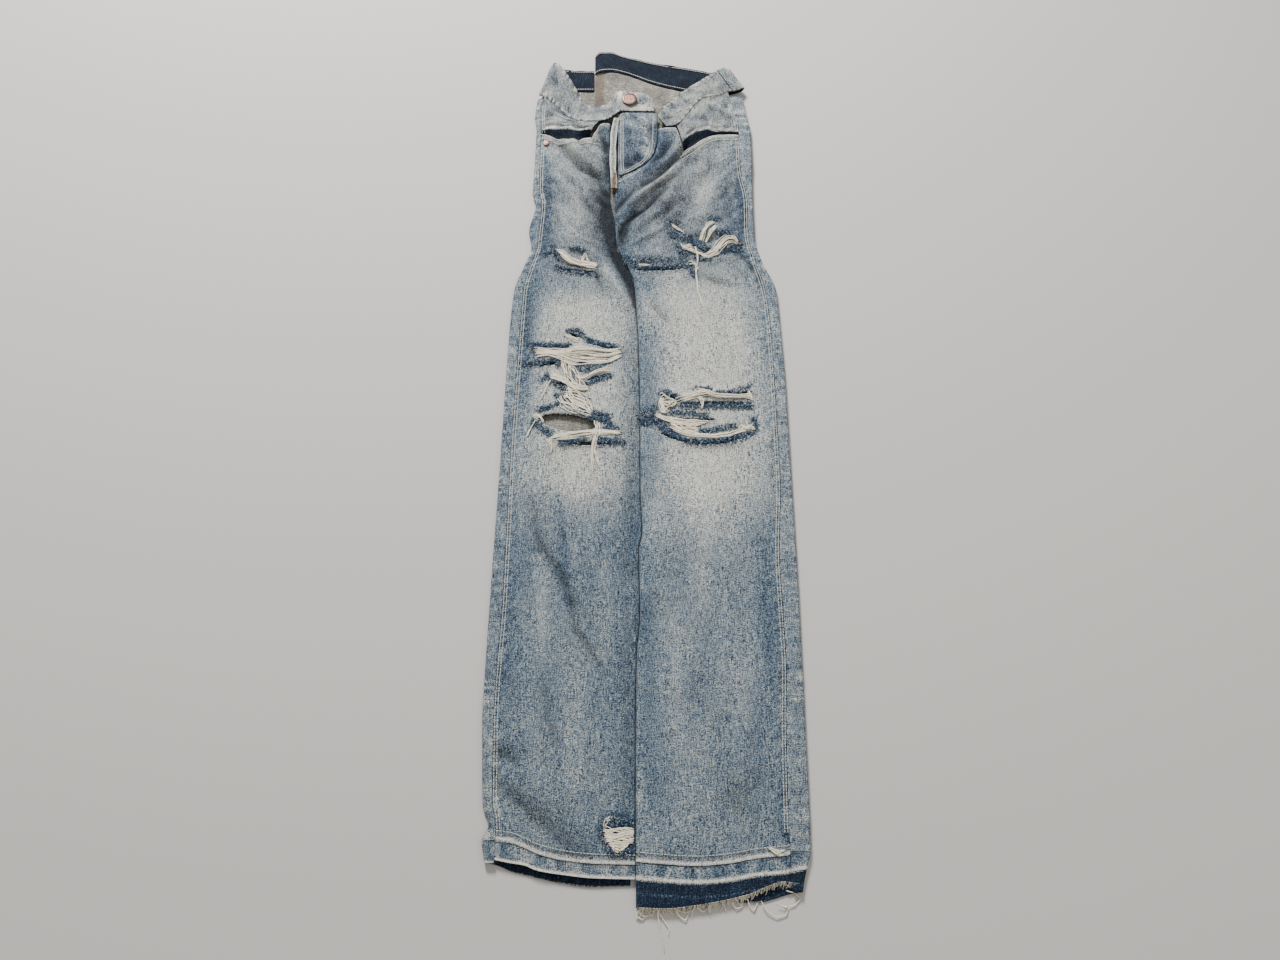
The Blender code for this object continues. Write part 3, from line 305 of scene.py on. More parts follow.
LEFT_CREASES = lined((
    # height, half width, x, y of each point
    (-3.4, 4, (52, 369, 40, 353, 30, 340, 20, 330, 10, 320, 0, 312, -6, 305)),
    (2.7, 5.2, (44, 348, 30, 330, 14, 316, -2, 300, -18, 286)),
    (-4.1, 3.4, (31, 309, 20, 299, 10, 288, 0, 277, -20, 260, -28, 240)),
    (-2.5, 4.6, (-12, 308, -18, 300, -30, 286, -36, 275, -44, 273)),
    (1.7, 6.9, (64, 330, 48, 300, 24, 275, 4, 262)),
    (-2, 3.4, (40, 392, 34, 376, 22, 362, 12, 352)), (2, 4, (46, 380, 38, 364, 26, 350, 12, 336)),
    (-2, 4, (58, 352, 44, 330, 28, 316, 12, 306)), (-1.7, 4, (50, 288, 30, 272, 10, 256, -10, 240)),
    (1.7, 4.6, (40, 262, 20, 248, -2, 232, -14, 222)), (-1.5, 4.6, (100, 376, 90, 350, 84, 326)),
    (1.4, 4.6, (118, 372, 110, 340, 106, 310)), (-1.4, 5.8, (90, 345, 80, 320, 66, 290, 50, 268)),
    (1.4, 6.9, (108, 350, 96, 320, 84, 290, 80, 262)), (-2, 4.6, (127, 350, 124, 330, 122, 300)),
    (1.7, 4.6, (116, 392, 100, 388, 80, 378, 60, 362)), (-1.6, 5, (70, 178, 85, 170, 105, 162)),
    (1.3, 5, (108, 205, 125, 196, 142, 178)), (-1.4, 4, (115, 212, 128, 200, 140, 180, 146, 160)),
    (-0.8, 4, (4, 134, 16, 124, 28, 108)), (0.9, 5, (-4, 150, 4, 128, 16, 110)),
    (-1.4, 5.8, (56, 260, 70, 250, 90, 244)), (0.5, 6, (30, 160, 26, 120, 24, 80)),
    (-0.4, 6, (70, 120, 68, 90, 64, 60)), (0.5, 7, (112, 140, 110, 100, 108, 60)),
    (-0.5, 6, (14, -170, 6, -220, 4, -260)), (0.5, 6, (60, -120, 56, -200, 62, -280)),
    (-0.5, 6, (112, -180, 106, -260, 110, -330)), (0.5, 6, (20, -300, 26, -380, 22, -450)),
    (-0.5, 6, (84, -420, 92, -450, 104, -470)),
))

# How faded the denim is along each leg: 0 dark, 1 white. Each row gives the
# outseam's side, the middle and the inner side, and how beige the middle is
RIGHT_FADE = (
    # y, outseam side, middle, inner side, beige
    (-510, 0.44, 0.46, 0.4, 0.05), (-440, 0.46, 0.5, 0.42, 0.1), (-300, 0.39, 0.48, 0.41, 0.1),
    (-190, 0.39, 0.47, 0.39, 0.12), (-130, 0.43, 0.56, 0.4, 0.25), (-90, 0.44, 0.82, 0.42, 0.4),
    (-40, 0.43, 0.87, 0.46, 0.4), (60, 0.42, 0.87, 0.5, 0.42), (120, 0.4, 0.81, 0.52, 0.42),
    (170, 0.38, 0.46, 0.42, 0.35), (230, 0.34, 0.42, 0.34, 0.5), (290, 0.38, 0.41, 0.34, 0.55),
    (340, 0.42, 0.45, 0.34, 0.55), (390, 0.46, 0.52, 0.34, 0.55), (430, 0.46, 0.52, 0.36, 0.55),
)
LEFT_FADE = (
    # y, outseam side, middle, inner side, beige
    (-550, 0.44, 0.5, 0.46, 0.05), (-440, 0.44, 0.5, 0.48, 0.1), (-300, 0.43, 0.51, 0.48, 0.12),
    (-200, 0.43, 0.51, 0.45, 0.15), (-140, 0.45, 0.72, 0.5, 0.18), (-90, 0.46, 0.94, 0.5, 0.32),
    (-30, 0.48, 0.93, 0.54, 0.4), (60, 0.48, 0.91, 0.49, 0.45), (130, 0.48, 0.85, 0.5, 0.45),
    (190, 0.42, 0.5, 0.46, 0.45), (240, 0.42, 0.28, 0.38, 0.6), (320, 0.42, 0.33, 0.36, 0.65),
    (390, 0.46, 0.5, 0.36, 0.55), (420, 0.46, 0.5, 0.36, 0.55),
)

# Painted wear and shade: which channel, how much, its half width and its line
RIGHT_PAINT = lined((
    # channel, amount, half width, x, y of each point
    ("dark", 0.55, 4.5, (-117, 385, -100, 361, -83, 342, -59, 327)),
    ("dark", 0.6, 4, (-98, 405, -83, 381, -64, 359, -49, 352)),
    ("fade", 0.2, 4, (-108, 385, -90, 366, -68, 345, -52, 336)),
    ("fade", 0.12, 4, (-80, 392, -62, 372, -50, 364)),
    ("dark", 0.8, 5, (-58, 400, -50, 380, -47, 350, -46, 325)),
    ("dark", 0.6, 10, (-50, 330, -50, 290, -46, 250, -34, 200)),
    ("dark", 1.1, 8, (-46, 296, -44, 255, -35, 220, -26, 190, -16, 162, -10, 138)),
    ("dark", 0.5, 14, (-62, 320, -60, 280, -56, 240, -48, 205)),
    ("fade", -0.16, 9, (-128, 350, -126, 300, -128, 250, -124, 215)),
    ("fade", 0.12, 15, (-98, 268, -92, 236)), ("dark", 0.35, 3.5, (-70, 340, -60, 322, -50, 300)),
    ("dark", 0.3, 3.5, (-88, 300, -74, 284, -58, 262)),
    ("dark", 0.25, 4, (-128, 300, -116, 270, -104, 244)),
    ("dark", 0.5, 4.5, (-60, 190, -57, 170, -50, 150)),
    ("fade", 0.22, 6, (-52, 193, -40, 172, -24, 146, -14, 130)),
    ("dark", 0.85, 5, (-38, 212, -28, 190, -16, 165, -10, 145, -8, 125)),
    ("fade", -0.14, 12, (-140, 180, -140, 120, -142, 60, -140, 0)),
    ("dark", 0.28, 5, (-142, 160, -144, 110, -142, 60)),
    ("dark", 0.35, 11, (-16, 130, -14, 60, -14, -30, -16, -110, -14, -200)),
    ("dark", 0.3, 10, (-14, -200, -16, -300, -16, -400, -16, -500)),
    ("fade", 0.1, 14, (-60, 140, -56, 100)), ("fade", 0.1, 22, (-96, 140, -92, 108)),
    ("fade", 0.16, 16, (-78, -70, -76, -110)),
    ("fade", -0.16, 6, (-98, -120, -92, -160, -88, -210, -80, -250)),
    ("fade", 0.14, 8, (-118, -190, -110, -240, -112, -300)),
    ("fade", 0.1, 8, (-44, -200, -42, -260, -46, -310)),
    ("fade", 0.08, 10, (-70, -300, -72, -380, -70, -430)),
    ("dark", 0.55, 6, (-130, -120, -115, -180, -97, -205, -80, -240)),
    ("dark", 0.6, 5, (-80, -240, -75, -270, -60, -290, -42, -318)),
    ("dark", 0.35, 5, (-108, -330, -104, -345, -98, -370, -90, -390)),
    ("dark", 0.75, 7, (-168, -392, -150, -398, -136, -404)),
    ("dark", 0.6, 7, (-152, -428, -122, -452, -100, -470, -75, -490, -58, -494)),
    ("dark", 0.4, 6, (-158, -245, -148, -250)), ("dark", 0.35, 6, (-156, -315, -146, -322)),
    ("fade", 0.14, 7, (-150, -440, -152, -462)),
))
LEFT_PAINT = lined((
    # channel, amount, half width, x, y of each point
    ("dark", 1, 4.5, (52, 369, 40, 353, 30, 340, 20, 330, 10, 320, 0, 312, -6, 305)),
    ("fade", -0.22, 9, (24, 400, 26, 370, 14, 345, -4, 322)),
    ("fade", 0.24, 5, (44, 348, 30, 330, 14, 316, -2, 300, -18, 286)),
    ("fade", 0.24, 14, (84, 330, 82, 300, 74, 280)), ("fade", 0.14, 12, (13, 262, 18, 222)),
    ("dark", 1, 4.5, (31, 309, 20, 299, 10, 288, 0, 277, -20, 260, -28, 240)),
    ("dark", 1, 5.5, (-14, 308, -20, 298, -32, 284, -38, 272)),
    ("dark", 0.6, 8, (-30, 262, -26, 236, -28, 215)),
    ("dark", 0.55, 3.5, (40, 392, 34, 376, 22, 362, 12, 352)),
    ("dark", 0.45, 3.5, (58, 352, 44, 330, 28, 316, 12, 306)),
    ("dark", 0.3, 4, (50, 288, 30, 272, 10, 256, -10, 240)),
    ("fade", -0.14, 10, (36, 392, 34, 360, 22, 340)),
    ("fade", -0.1, 9, (70, 300, 50, 276, 40, 250)),
    ("dark", 0.55, 5, (-12, 268, -26, 244, -32, 222)),
    ("fade", -0.16, 8, (-14, 296, -16, 280, -6, 268)),
    ("fade", 0.08, 16, (70, 350, 60, 320, 70, 290, 84, 270)),
    ("fade", -0.22, 10, (128, 340, 126, 300, 128, 260, 124, 230)),
    ("fade", -0.12, 7, (104, 320, 106, 290, 112, 260)),
    ("dark", 0.45, 4, (127, 350, 125, 335, 124, 318)),
    ("dark", 0.45, 4.5, (45, 362, 60, 366, 74, 376)),
    ("dark", 0.45, 5, (70, 177, 85, 170, 105, 162)),
    ("dark", 0.6, 5, (113, 212, 127, 200, 140, 182, 148, 160)),
    ("fade", 0.12, 5, (104, 202, 122, 196, 138, 176)),
    ("dark", 0.7, 4, (42, 220, 50, 214, 56, 210)), ("fade", -0.16, 14, (4, 170, 8, 150)),
    ("dark", 0.35, 5, (10, 132, 20, 124, 28, 108)), ("fade", 0.14, 5, (-2, 150, 4, 128, 18, 112)),
    ("fade", -0.15, 13, (6, 110, 8, 60, 8, 30, 6, -60, 4, -110)),
    ("fade", -0.1, 7, (24, 90, 24, 40, 22, -60, 30, -140)),
    ("fade", 0.08, 16, (56, 150, 60, 110, 56, 60)), ("fade", 0.1, 20, (100, 110, 98, 70, 96, 30)),
    ("fade", 0.12, 18, (70, -60, 74, -100, 72, -125)), ("dark", 0.35, 4.5, (150, -48, 147, -60)),
    ("dark", 0.3, 3, (130, -170, 139, -172)), ("dark", 0.35, 4.5, (146, -80, 146, -96)),
    ("dark", 0.3, 6, (10, -228, 14, -236)), ("dark", 0.25, 8, (24, -244, 4, -250)),
    ("dark", 0.35, 5, (146, -318, 144, -334)), ("dark", 0.25, 8, (62, -324, 44, -342)),
    ("fade", 0.1, 10, (70, -150, 62, -200, 66, -250)),
    ("fade", 0.08, 10, (100, -260, 104, -320, 104, -360)),
    ("fade", 0.08, 12, (30, -260, 34, -330, 30, -390)),
    ("fade", -0.1, 8, (132, -150, 130, -240, 134, -330)),
    ("fade", -0.08, 8, (0, -240, 4, -330, 4, -430)),
    ("dark", 0.35, 9, (118, -420, 84, -444, 100, -456)), ("dark", 0.45, 6, (150, -426, 146, -440)),
    ("dark", 0.5, 6, (154, -470, 148, -482)), ("fade", 0.22, 2.6, (-5, -418, -4, -435, -6, -450)),
))

# Bundles of bared white yarns over the rips. Each row gives how many yarns,
# how far they stand off, how loose they are and the bundle's two long edges
RIGHT_YARNS = lined((
    # count, stand-off, looseness, x and y along the first edge and along the second
    (24, 1.2, 0.9, (-112, 214, -101, 210, -92, 202, -80, 199, -58, 196), (-104, 203, -98, 197,
     -90, 193, -78, 189, -60, 189)),
    (4, 1.6, 0.8, (-79, 199, -76, 207, -73, 209, -70, 200), (-77, 199, -75, 204, -74, 206,
     -72, 200)),
    (5, 1, 0.9, (-97, 91, -88, 88, -80, 84), (-94, 87, -88, 84, -79, 80)),
    (34, 1.1, 1, (-133, 73, -118, 71, -100, 72, -80, 75, -60, 71, -45, 69, -29, 73), (-131, 61,
     -116, 63, -100, 57, -88, 51, -60, 51, -40, 53, -27, 62)),
    (20, 1.3, 1.2, (-101, 60, -102, 48, -97, 36, -92, 26, -84, 14), (-86, 58, -83, 47, -76, 34,
     -72, 26, -67, 16)),
    (8, 1.6, 0.9, (-79, 33, -70, 34, -60, 41, -50, 45, -40, 46), (-78, 29, -70, 28, -60, 35,
     -50, 40, -39, 40)),
    (14, 1.4, 1, (-114, 38, -104, 36, -95, 32, -84, 24, -68, 21), (-112, 32, -102, 28, -93, 24,
     -82, 17, -67, 16)),
    (26, 1.2, 1.3, (-92, 16, -80, 14, -70, 6, -62, -6, -60, -12), (-102, 6, -99, -4, -88, -12,
     -74, -18, -62, -19)),
    (12, 1.5, 1.6, (-94, 20, -92, 8, -84, -2, -72, -8), (-88, 20, -82, 6, -72, 0, -64, -4)),
    (16, 1.2, 0.8, (-109, -44, -98, -41, -88, -39, -70, -37, -60, -36, -40, -36, -26, -37),
     (-105, -50, -96, -49, -84, -48, -70, -46, -58, -44, -42, -42, -29, -42)),
    (7, 2.4, 0.8, (-58, -24, -57, -32, -56, -40, -58, -48), (-50, -26, -52, -34, -51, -42,
     -53, -46)),
    (3, 1.6, 1, (-58, -44, -61, -58, -61, -72, -59, -89), (-56, -44, -59, -58, -59, -72, -57, -86)),
    (2, 1.6, 1.2, (-55, -46, -59, -60, -56, -72, -52, -84), (-54, -46, -57, -60, -54, -72,
     -51, -80)),
    (4, 1.4, 0.8, (-109, -44, -111, -52, -109, -60, -110, -68), (-105, -45, -107, -52, -106, -58,
     -106, -65)),
    (8, 1.6, 1.3, (-131, -19, -127, -16, -122, -18, -117, -26), (-128, -23, -125, -20, -121, -22,
     -119, -26)),
    (2, 1, 0.6, (-128, -22, -131, -30, -135, -38, -138, -46), (-127, -23, -130, -30, -134, -38,
     -136, -44)),
    (2, 1.2, 0.6, (-112, 30, -116, 20, -120, 10, -125, 1), (-111, 29, -115, 20, -119, 10, -123, 2)),
    (34, 0.9, 0.5, (-42, -471, -32, -473, -20, -473, -11, -474), (-40, -484, -30, -486, -20, -486,
     -11, -485)),
    (22, 0.9, 0.8, (-38, -484, -30, -486, -22, -486, -14, -485), (-32, -493, -28, -495, -24, -494,
     -18, -490)),
    (3, 0.9, 1.2, (-42, -472, -40, -464, -37, -460), (-39, -472, -37, -466, -34, -464)),
))
LEFT_YARNS = lined((
    # count, stand-off, looseness, x and y along the first edge and along the second
    (18, 1.8, 0.7, (72, 207, 79, 208, 87, 215, 93, 226, 102, 234, 114, 235, 120, 229), (72, 203,
     80, 200, 92, 204, 99, 216, 106, 225, 115, 226, 119, 222)),
    (5, 1.4, 0.9, (49, 222, 54, 217, 63, 212, 74, 208), (50, 217, 56, 212, 64, 208, 74, 205)),
    (4, 1.2, 1.4, (46, 224, 50, 214, 56, 222, 60, 213), (48, 220, 51, 212, 58, 219, 62, 211)),
    (9, 1.8, 0.8, (70, 229, 74, 242, 79, 254, 88, 258), (74, 227, 79, 240, 84, 249, 90, 253)),
    (7, 1.8, 0.8, (76, 226, 82, 239, 88, 248, 92, 250), (80, 225, 86, 237, 91, 244, 94, 246)),
    (8, 1.6, 0.8, (34, 254, 41, 248, 50, 240), (37, 249, 44, 242, 53, 236)),
    (6, 1.6, 1.2, (-8, 193, 0, 192, 8, 192), (-6, 190, 0, 190, 7, 190)),
    (7, 2, 1.2, (55, 196, 60, 196, 66, 192, 68, 184), (58, 190, 62, 190, 64, 188, 64, 182)),
    (3, 1.4, 0.6, (65, 190, 66, 172, 68, 152, 72, 136, 74, 127), (64, 190, 65, 172, 66, 152,
     70, 138, 73, 130)),
    (2, 1.4, 0.8, (64, 218, 67, 206, 67, 198, 66, 190), (65, 218, 68, 206, 68, 198, 67, 190)),
    (20, 1.8, 1.4, (17, 8, 22, 10, 30, 6, 38, 0), (20, -10, 26, -12, 32, -8, 38, -2)),
    (10, 1.5, 1.2, (19, 6, 17, -2, 20, -12, 26, -14), (24, 6, 23, -2, 24, -8, 30, -12)),
    (13, 1.6, 0.6, (36, 4, 50, 8, 60, 13, 76, 16, 82, 11, 100, 10, 128, 11), (38, -2, 50, 2, 62, 6,
     74, 9, 84, 6, 100, 5, 128, 5)),
    (5, 1.8, 0.8, (58, 15, 64, 17, 72, 16, 77, 12), (60, 12, 66, 13, 72, 12, 76, 10)),
    (5, 1.8, 0.9, (62, 6, 66, 2, 67, -4, 66, -9), (66, 8, 70, 2, 70, -4, 69, -8)),
    (5, 1.8, 0.9, (124, 16, 127, 12, 129, 6, 128, 2), (121, 12, 124, 10, 126, 6, 126, 3)),
    (16, 1.2, 1, (11, -13, 20, -17, 36, -20, 55, -23, 78, -25), (14, -19, 26, -25, 40, -28,
     56, -30, 64, -30)),
    (22, 1.2, 1.2, (30, -22, 40, -25, 52, -28, 62, -31), (30, -31, 42, -38, 54, -41, 64, -42)),
    (11, 1.6, 0.7, (27, -29, 40, -36, 54, -41, 80, -43, 100, -39, 112, -33, 122, -29), (30, -34,
     42, -41, 56, -46, 80, -48, 100, -45, 114, -38, 124, -33)),
    (5, 1.8, 1, (112, -28, 118, -30, 124, -30, 129, -32), (114, -32, 119, -35, 124, -34, 129, -36)),
    (5, 1.4, 1.2, (122, -492, 126, -496, 132, -498, 138, -497), (124, -489, 128, -492, 133, -493,
     138, -492)),
))

# Frayed edges: how many yarn ends, their length, how far they scatter, how
# blue they are and the line they stand on
RIGHT_FRAYS = lined((
    # count, length, scatter, blue, x, y of each point
    (110, 4.5, 2.2, 0.9, (-110, 188, -96, 184, -80, 180, -58, 177)),
    (50, 4, 2.6, 0.9, (-127, 205, -120, 208, -113, 218)),
    (40, 4, 2, 0.8, (-92, 214, -84, 216, -75, 212)),
    (24, 4, 2, 0.8, (-118, 212, -112, 208, -108, 200)),
    (60, 4.5, 2.4, 0.9, (-96, 94, -88, 98, -80, 96, -74, 90)),
    (130, 4.5, 2.6, 0.95, (-138, 78, -120, 77, -104, 77, -90, 77)),
    (120, 5, 2.2, 0.95, (-77, 90, -68, 84, -55, 79, -42, 77, -30, 75)),
    (150, 4.5, 3, 0.9, (-146, 52, -130, 52, -118, 55, -106, 57, -102, 50)),
    (40, 4, 3, 0.8, (-122, 30, -116, 38, -112, 30)),
    (70, 4, 2.6, 0.7, (-80, 52, -66, 48, -50, 52, -44, 54)),
    (80, 4, 2.6, 0.75, (-84, 46, -70, 42, -60, 44, -50, 50)),
    (80, 4.5, 2, 0.95, (-70, 24, -60, 29, -50, 32, -39, 36)),
    (70, 4.5, 2.4, 0.9, (-112, 27, -100, 20, -92, 18, -84, 10)),
    (50, 4, 2.4, 0.8, (-104, 10, -98, 0, -94, 12)), (50, 4, 2.2, 0.9, (-82, 12, -76, 6, -66, 4)),
    (60, 4.5, 2.4, 0.9, (-125, -10, -112, -6, -102, -3)),
    (100, 4.5, 3, 0.9, (-78, -14, -66, -14, -54, -15, -42, -19)),
    (90, 4.5, 2.2, 0.95, (-66, -20, -54, -21, -44, -24, -38, -30)),
    (110, 4.5, 3, 0.85, (-132, -26, -122, -30, -114, -38, -108, -43)),
    (90, 4, 1.8, 0.95, (-99, -54, -88, -54, -78, -51, -66, -48)),
    (120, 4.5, 2.4, 0.95, (-54, -50, -44, -50, -34, -50, -24, -50)),
    (60, 4, 1.6, 0.8, (-48, -33, -38, -33, -30, -34)),
    (40, 3, 2, 0.7, (-44, -470, -44, -478, -40, -486)),
    (70, 4, 2.4, 0.9, (-42, -468, -32, -466, -20, -467, -12, -468)),
    (60, 4, 2.6, 0.8, (-38, -490, -32, -496, -24, -497, -14, -493)),
))
LEFT_FRAYS = lined((
    # count, length, scatter, blue, x, y of each point
    (60, 4.5, 2.6, 0.95, (44, 216, 50, 209, 56, 206)),
    (230, 4.5, 3.4, 0.9, (34, 236, 48, 234, 58, 229, 68, 223, 80, 214)),
    (110, 4.5, 3, 1, (94, 212, 108, 215, 122, 217)),
    (40, 4.5, 1.8, 0.8, (62, 203, 72, 200, 84, 199)),
    (60, 4.5, 2.4, 0.85, (94, 240, 100, 238, 108, 240)),
    (50, 4, 2.2, 0.95, (84, 261, 90, 261, 96, 259)), (30, 4, 2.2, 0.8, (30, 256, 36, 258, 44, 254)),
    (260, 4.5, 3.6, 0.7, (-24, 198, -10, 198, 10, 198, 30, 198, 58, 197)),
    (150, 4, 1.8, 0.95, (-14, 190, 4, 187, 20, 188, 40, 189, 58, 189)),
    (60, 5, 2.2, 0.85, (58, 190, 61, 182, 64, 174)),
    (50, 4.5, 2, 0.8, (-24, 204, -16, 200, -8, 196)),
    (60, 4.5, 2.2, 0.95, (18, 12, 26, 13, 36, 8, 44, 4)),
    (50, 4, 1.8, 0.9, (58, 18, 68, 19, 80, 18)),
    (70, 4.5, 2.2, 0.95, (84, 12, 98, 13, 110, 15, 120, 19, 127, 24)),
    (240, 4.5, 3, 0.85, (44, -3, 62, -4, 80, -4, 100, -4, 128, -5)),
    (60, 4, 2.6, 0.7, (-2, -11, 6, -9, 14, -7)), (80, 4, 3, 0.75, (-8, -18, 0, -17, 10, -16)),
    (80, 4.5, 2.6, 0.95, (-8, -26, 2, -26, 14, -25, 20, -24)),
    (130, 4.5, 3, 0.8, (28, -13, 44, -13, 60, -15, 76, -18)),
    (150, 4.5, 2.6, 0.8, (66, -37, 80, -36, 96, -33, 108, -30)),
    (250, 4.5, 2, 1, (18, -31, 30, -42, 50, -51, 70, -53, 90, -51, 110, -46, 130, -38)),
    (70, 4.5, 2.6, 0.9, (18, -26, 28, -34, 40, -44)),
    (40, 4, 2, 0.9, (126, -20, 130, -26, 131, -34)),
))

# Long threads that hang from the raw hem
HEM_THREADS = lined((
    # thickness, x, y of each point
    (0.55, (12, -547, 13, -556, 16, -570, 18, -584)),
    (0.5, (11, -546, 17, -555, 23, -564, 22, -570)), (0.5, (-8, -547, -2, -553, 6, -552, 10, -547)),
    (0.55, (-7, -548, -9, -553, -3, -556, 3, -551)),
    (0.55, (28, -546, 33, -553, 39, -557, 42, -551, 41, -544)),
    (0.5, (30, -546, 38, -550, 45, -548, 52, -546)),
    (0.6, (50, -545, 56, -549, 62, -545, 60, -539)),
    (0.6, (100, -537, 102, -545, 106, -548, 110, -541)),
    (0.6, (113, -539, 118, -548, 127, -554, 137, -552, 140, -546, 134, -543)),
    (0.5, (128, -541, 136, -545, 146, -543, 152, -538)),
    (0.5, (138, -530, 146, -532, 152, -537, 149, -541)),
    (0.5, (84, -540, 88, -546, 94, -545, 96, -539)),
))
# Rows of stitches on the fronts. Each row gives the pitch and the line
RIGHT_STITCHES = lined((
    # pitch, x, y of each point
    (3.2, (-139, 400, -128, 395, -115, 388, -100, 385, -88, 387, -76, 390, -66, 388, -58, 385)),
    (3.2, (-139, 394, -128, 389, -115, 382, -100, 379, -88, 381, -76, 384, -66, 382, -58, 380)),
))
LEFT_STITCHES = lined((
    # pitch, x, y of each point
    (3.2, (48, 363, 56, 368, 66, 375, 76, 382.5, 86, 388.5, 96, 392, 110, 394, 126, 394.5)),
    (3.2, (50, 357, 58, 362, 68, 369, 78, 376.5, 88, 383, 98, 386.5, 110, 388, 124, 388.5)),
    (3, (-33, 321, -27, 325, -14, 332, -4, 340)),
))
# The doubled fly edge as it lies: how far it stands to the side of a straight line
FLY_BEND = (
    # y, shift
    (305, 1.4), (325, 0.4), (345, -0.9), (370, -1.1), (395, -0.4), (412, 1.2), (426, 4),
)
# Rows of stitches on the button stand
STAND_STITCHES = lined((
    # pitch, x, y of each point
    (3, (-31, 430, -30.5, 400, -30.5, 370, -30, 345, -29, 336)),
    (3, (-28, 430, -27.5, 400, -27.5, 370, -27, 345, -26, 338)),
    (2.8, (-28, 335, -18, 341, -8, 348, 0, 356, 6, 368, 8, 384)),
    (2.8, (-24, 334, -14, 340, -3, 348, 4, 357, 10, 370, 12, 388, 12.5, 428)),
))


def clamp(value, low, high):
    return max(low, min(high, value))


def ease(value, low, high):
    """0 below low, 1 above high, and a smooth step between."""
    t = clamp((value - low) / (high - low), 0.0, 1.0)
    return t * t * (3.0 - 2.0 * t)


def hump(value, width):
    """A round hump: 1 at zero, and close to 0 at twice the width."""
    return math.exp(-(value / width) ** 2)


def read(rows, key, column):
    """A table's column at a key of its first column, on a smooth curve."""
    order = 1.0 if rows[-1][0] > rows[0][0] else -1.0
    key = clamp(key, min(rows[0][0], rows[-1][0]), max(rows[0][0], rows[-1][0]))
    last = len(rows) - 1
    k = 0
    while k < last - 1 and (key - rows[k + 1][0]) * order > 0.0:
        k += 1
    before, start = rows[max(k - 1, 0)], rows[k]
    end, after = rows[k + 1], rows[min(k + 2, last)]
    span = end[0] - start[0]
    slope = (end[column] - start[column]) / span
    left = (start[column] - before[column]) / (start[0] - before[0]) if k > 0 else slope
    right = (after[column] - end[column]) / (after[0] - end[0]) if k + 2 <= last else slope
    first = tangent(left, slope)
    second = tangent(slope, right)
    t = (key - start[0]) / span
    return (
        start[column] * (1 + 2 * t) * (1 - t) ** 2
        + first * span * t * (1 - t) ** 2
        + end[column] * t * t * (3 - 2 * t)
        + second * span * t * t * (t - 1)
    )


def tangent(one, two):
    """A slope between two slopes that never overshoots."""
    if one * two <= 0.0:
        return 0.0
    return 2.0 * one * two / (one + two)


def soft_plus(value):
    """Close to the value above zero, and close to zero below it."""
    return 0.5 * (value + math.sqrt(value * value + 1.5))


def back_lift(x, y):
    """How far the back is raised where a back pocket lies under it."""
    lift = 0.0
    for cx, mouth, width, point in BACK_POCKETS:
        aside = max(0.0, abs(x - cx) - width / 2 - 24.0)
        along = max(0.0, y - mouth - 18.0, mouth - point - 18.0 - y)
        lift = max(lift, 1.0 - ease(math.hypot(aside, along), 0.0, 26.0))
    return POCKET_LIFT * lift


def noise_at(x, y, z):
    """Smooth noise from about -1 to 1."""
    return noise.noise(Vector((x, y, z)))


def line_distance(points, x, y):
    """How far a place is from a line of points, and how far along it."""
    best, along = 1e9, 0.0
    count = len(points) - 1
    for k in range(count):
        x1, y1 = points[k][0], points[k][1]
        dx, dy = points[k + 1][0] - x1, points[k + 1][1] - y1
        t = clamp(((x - x1) * dx + (y - y1) * dy) / (dx * dx + dy * dy), 0.0, 1.0)
        away = math.hypot(x - x1 - dx * t, y - y1 - dy * t)
        if away < best:
            best, along = away, (k + t) / count
    return best, along


# How far a stroke and a fold reach, in half widths
STROKE_REACH = 2.6
FOLD_REACH = 3.0


class Strokes:
    """Soft lines on a panel, found quickly by their place along the length."""

    def __init__(self, rows):
        self.rows = []
        for row in rows:
            half, points = row[-2], row[-1]
            xs = [point[0] for point in points]
            ys = [point[1] for point in points]
            reach = STROKE_REACH * half
            box = (min(xs) - reach, max(xs) + reach, min(ys) - reach, max(ys) + reach)
            self.rows.append((box, row))
        self.known = {}

    def near(self, x, y):
        """Each stroke near a place, with its strength there from 0 to 1."""
        key = round(y)
        if key not in self.known:
            self.known[key] = [item for item in self.rows if item[0][2] - 1 <= y <= item[0][3] + 1]
        found = []
        for box, row in self.known[key]:
            if box[0] <= x <= box[1]:
                away, along = line_distance(row[-1], x, y)
                if away < STROKE_REACH * row[-2]:
                    taper = 0.35 + 0.65 * math.sin(math.pi * clamp(along, 0.04, 0.96)) ** 0.5
                    found.append((row, hump(away, row[-2]) * taper))
        return found


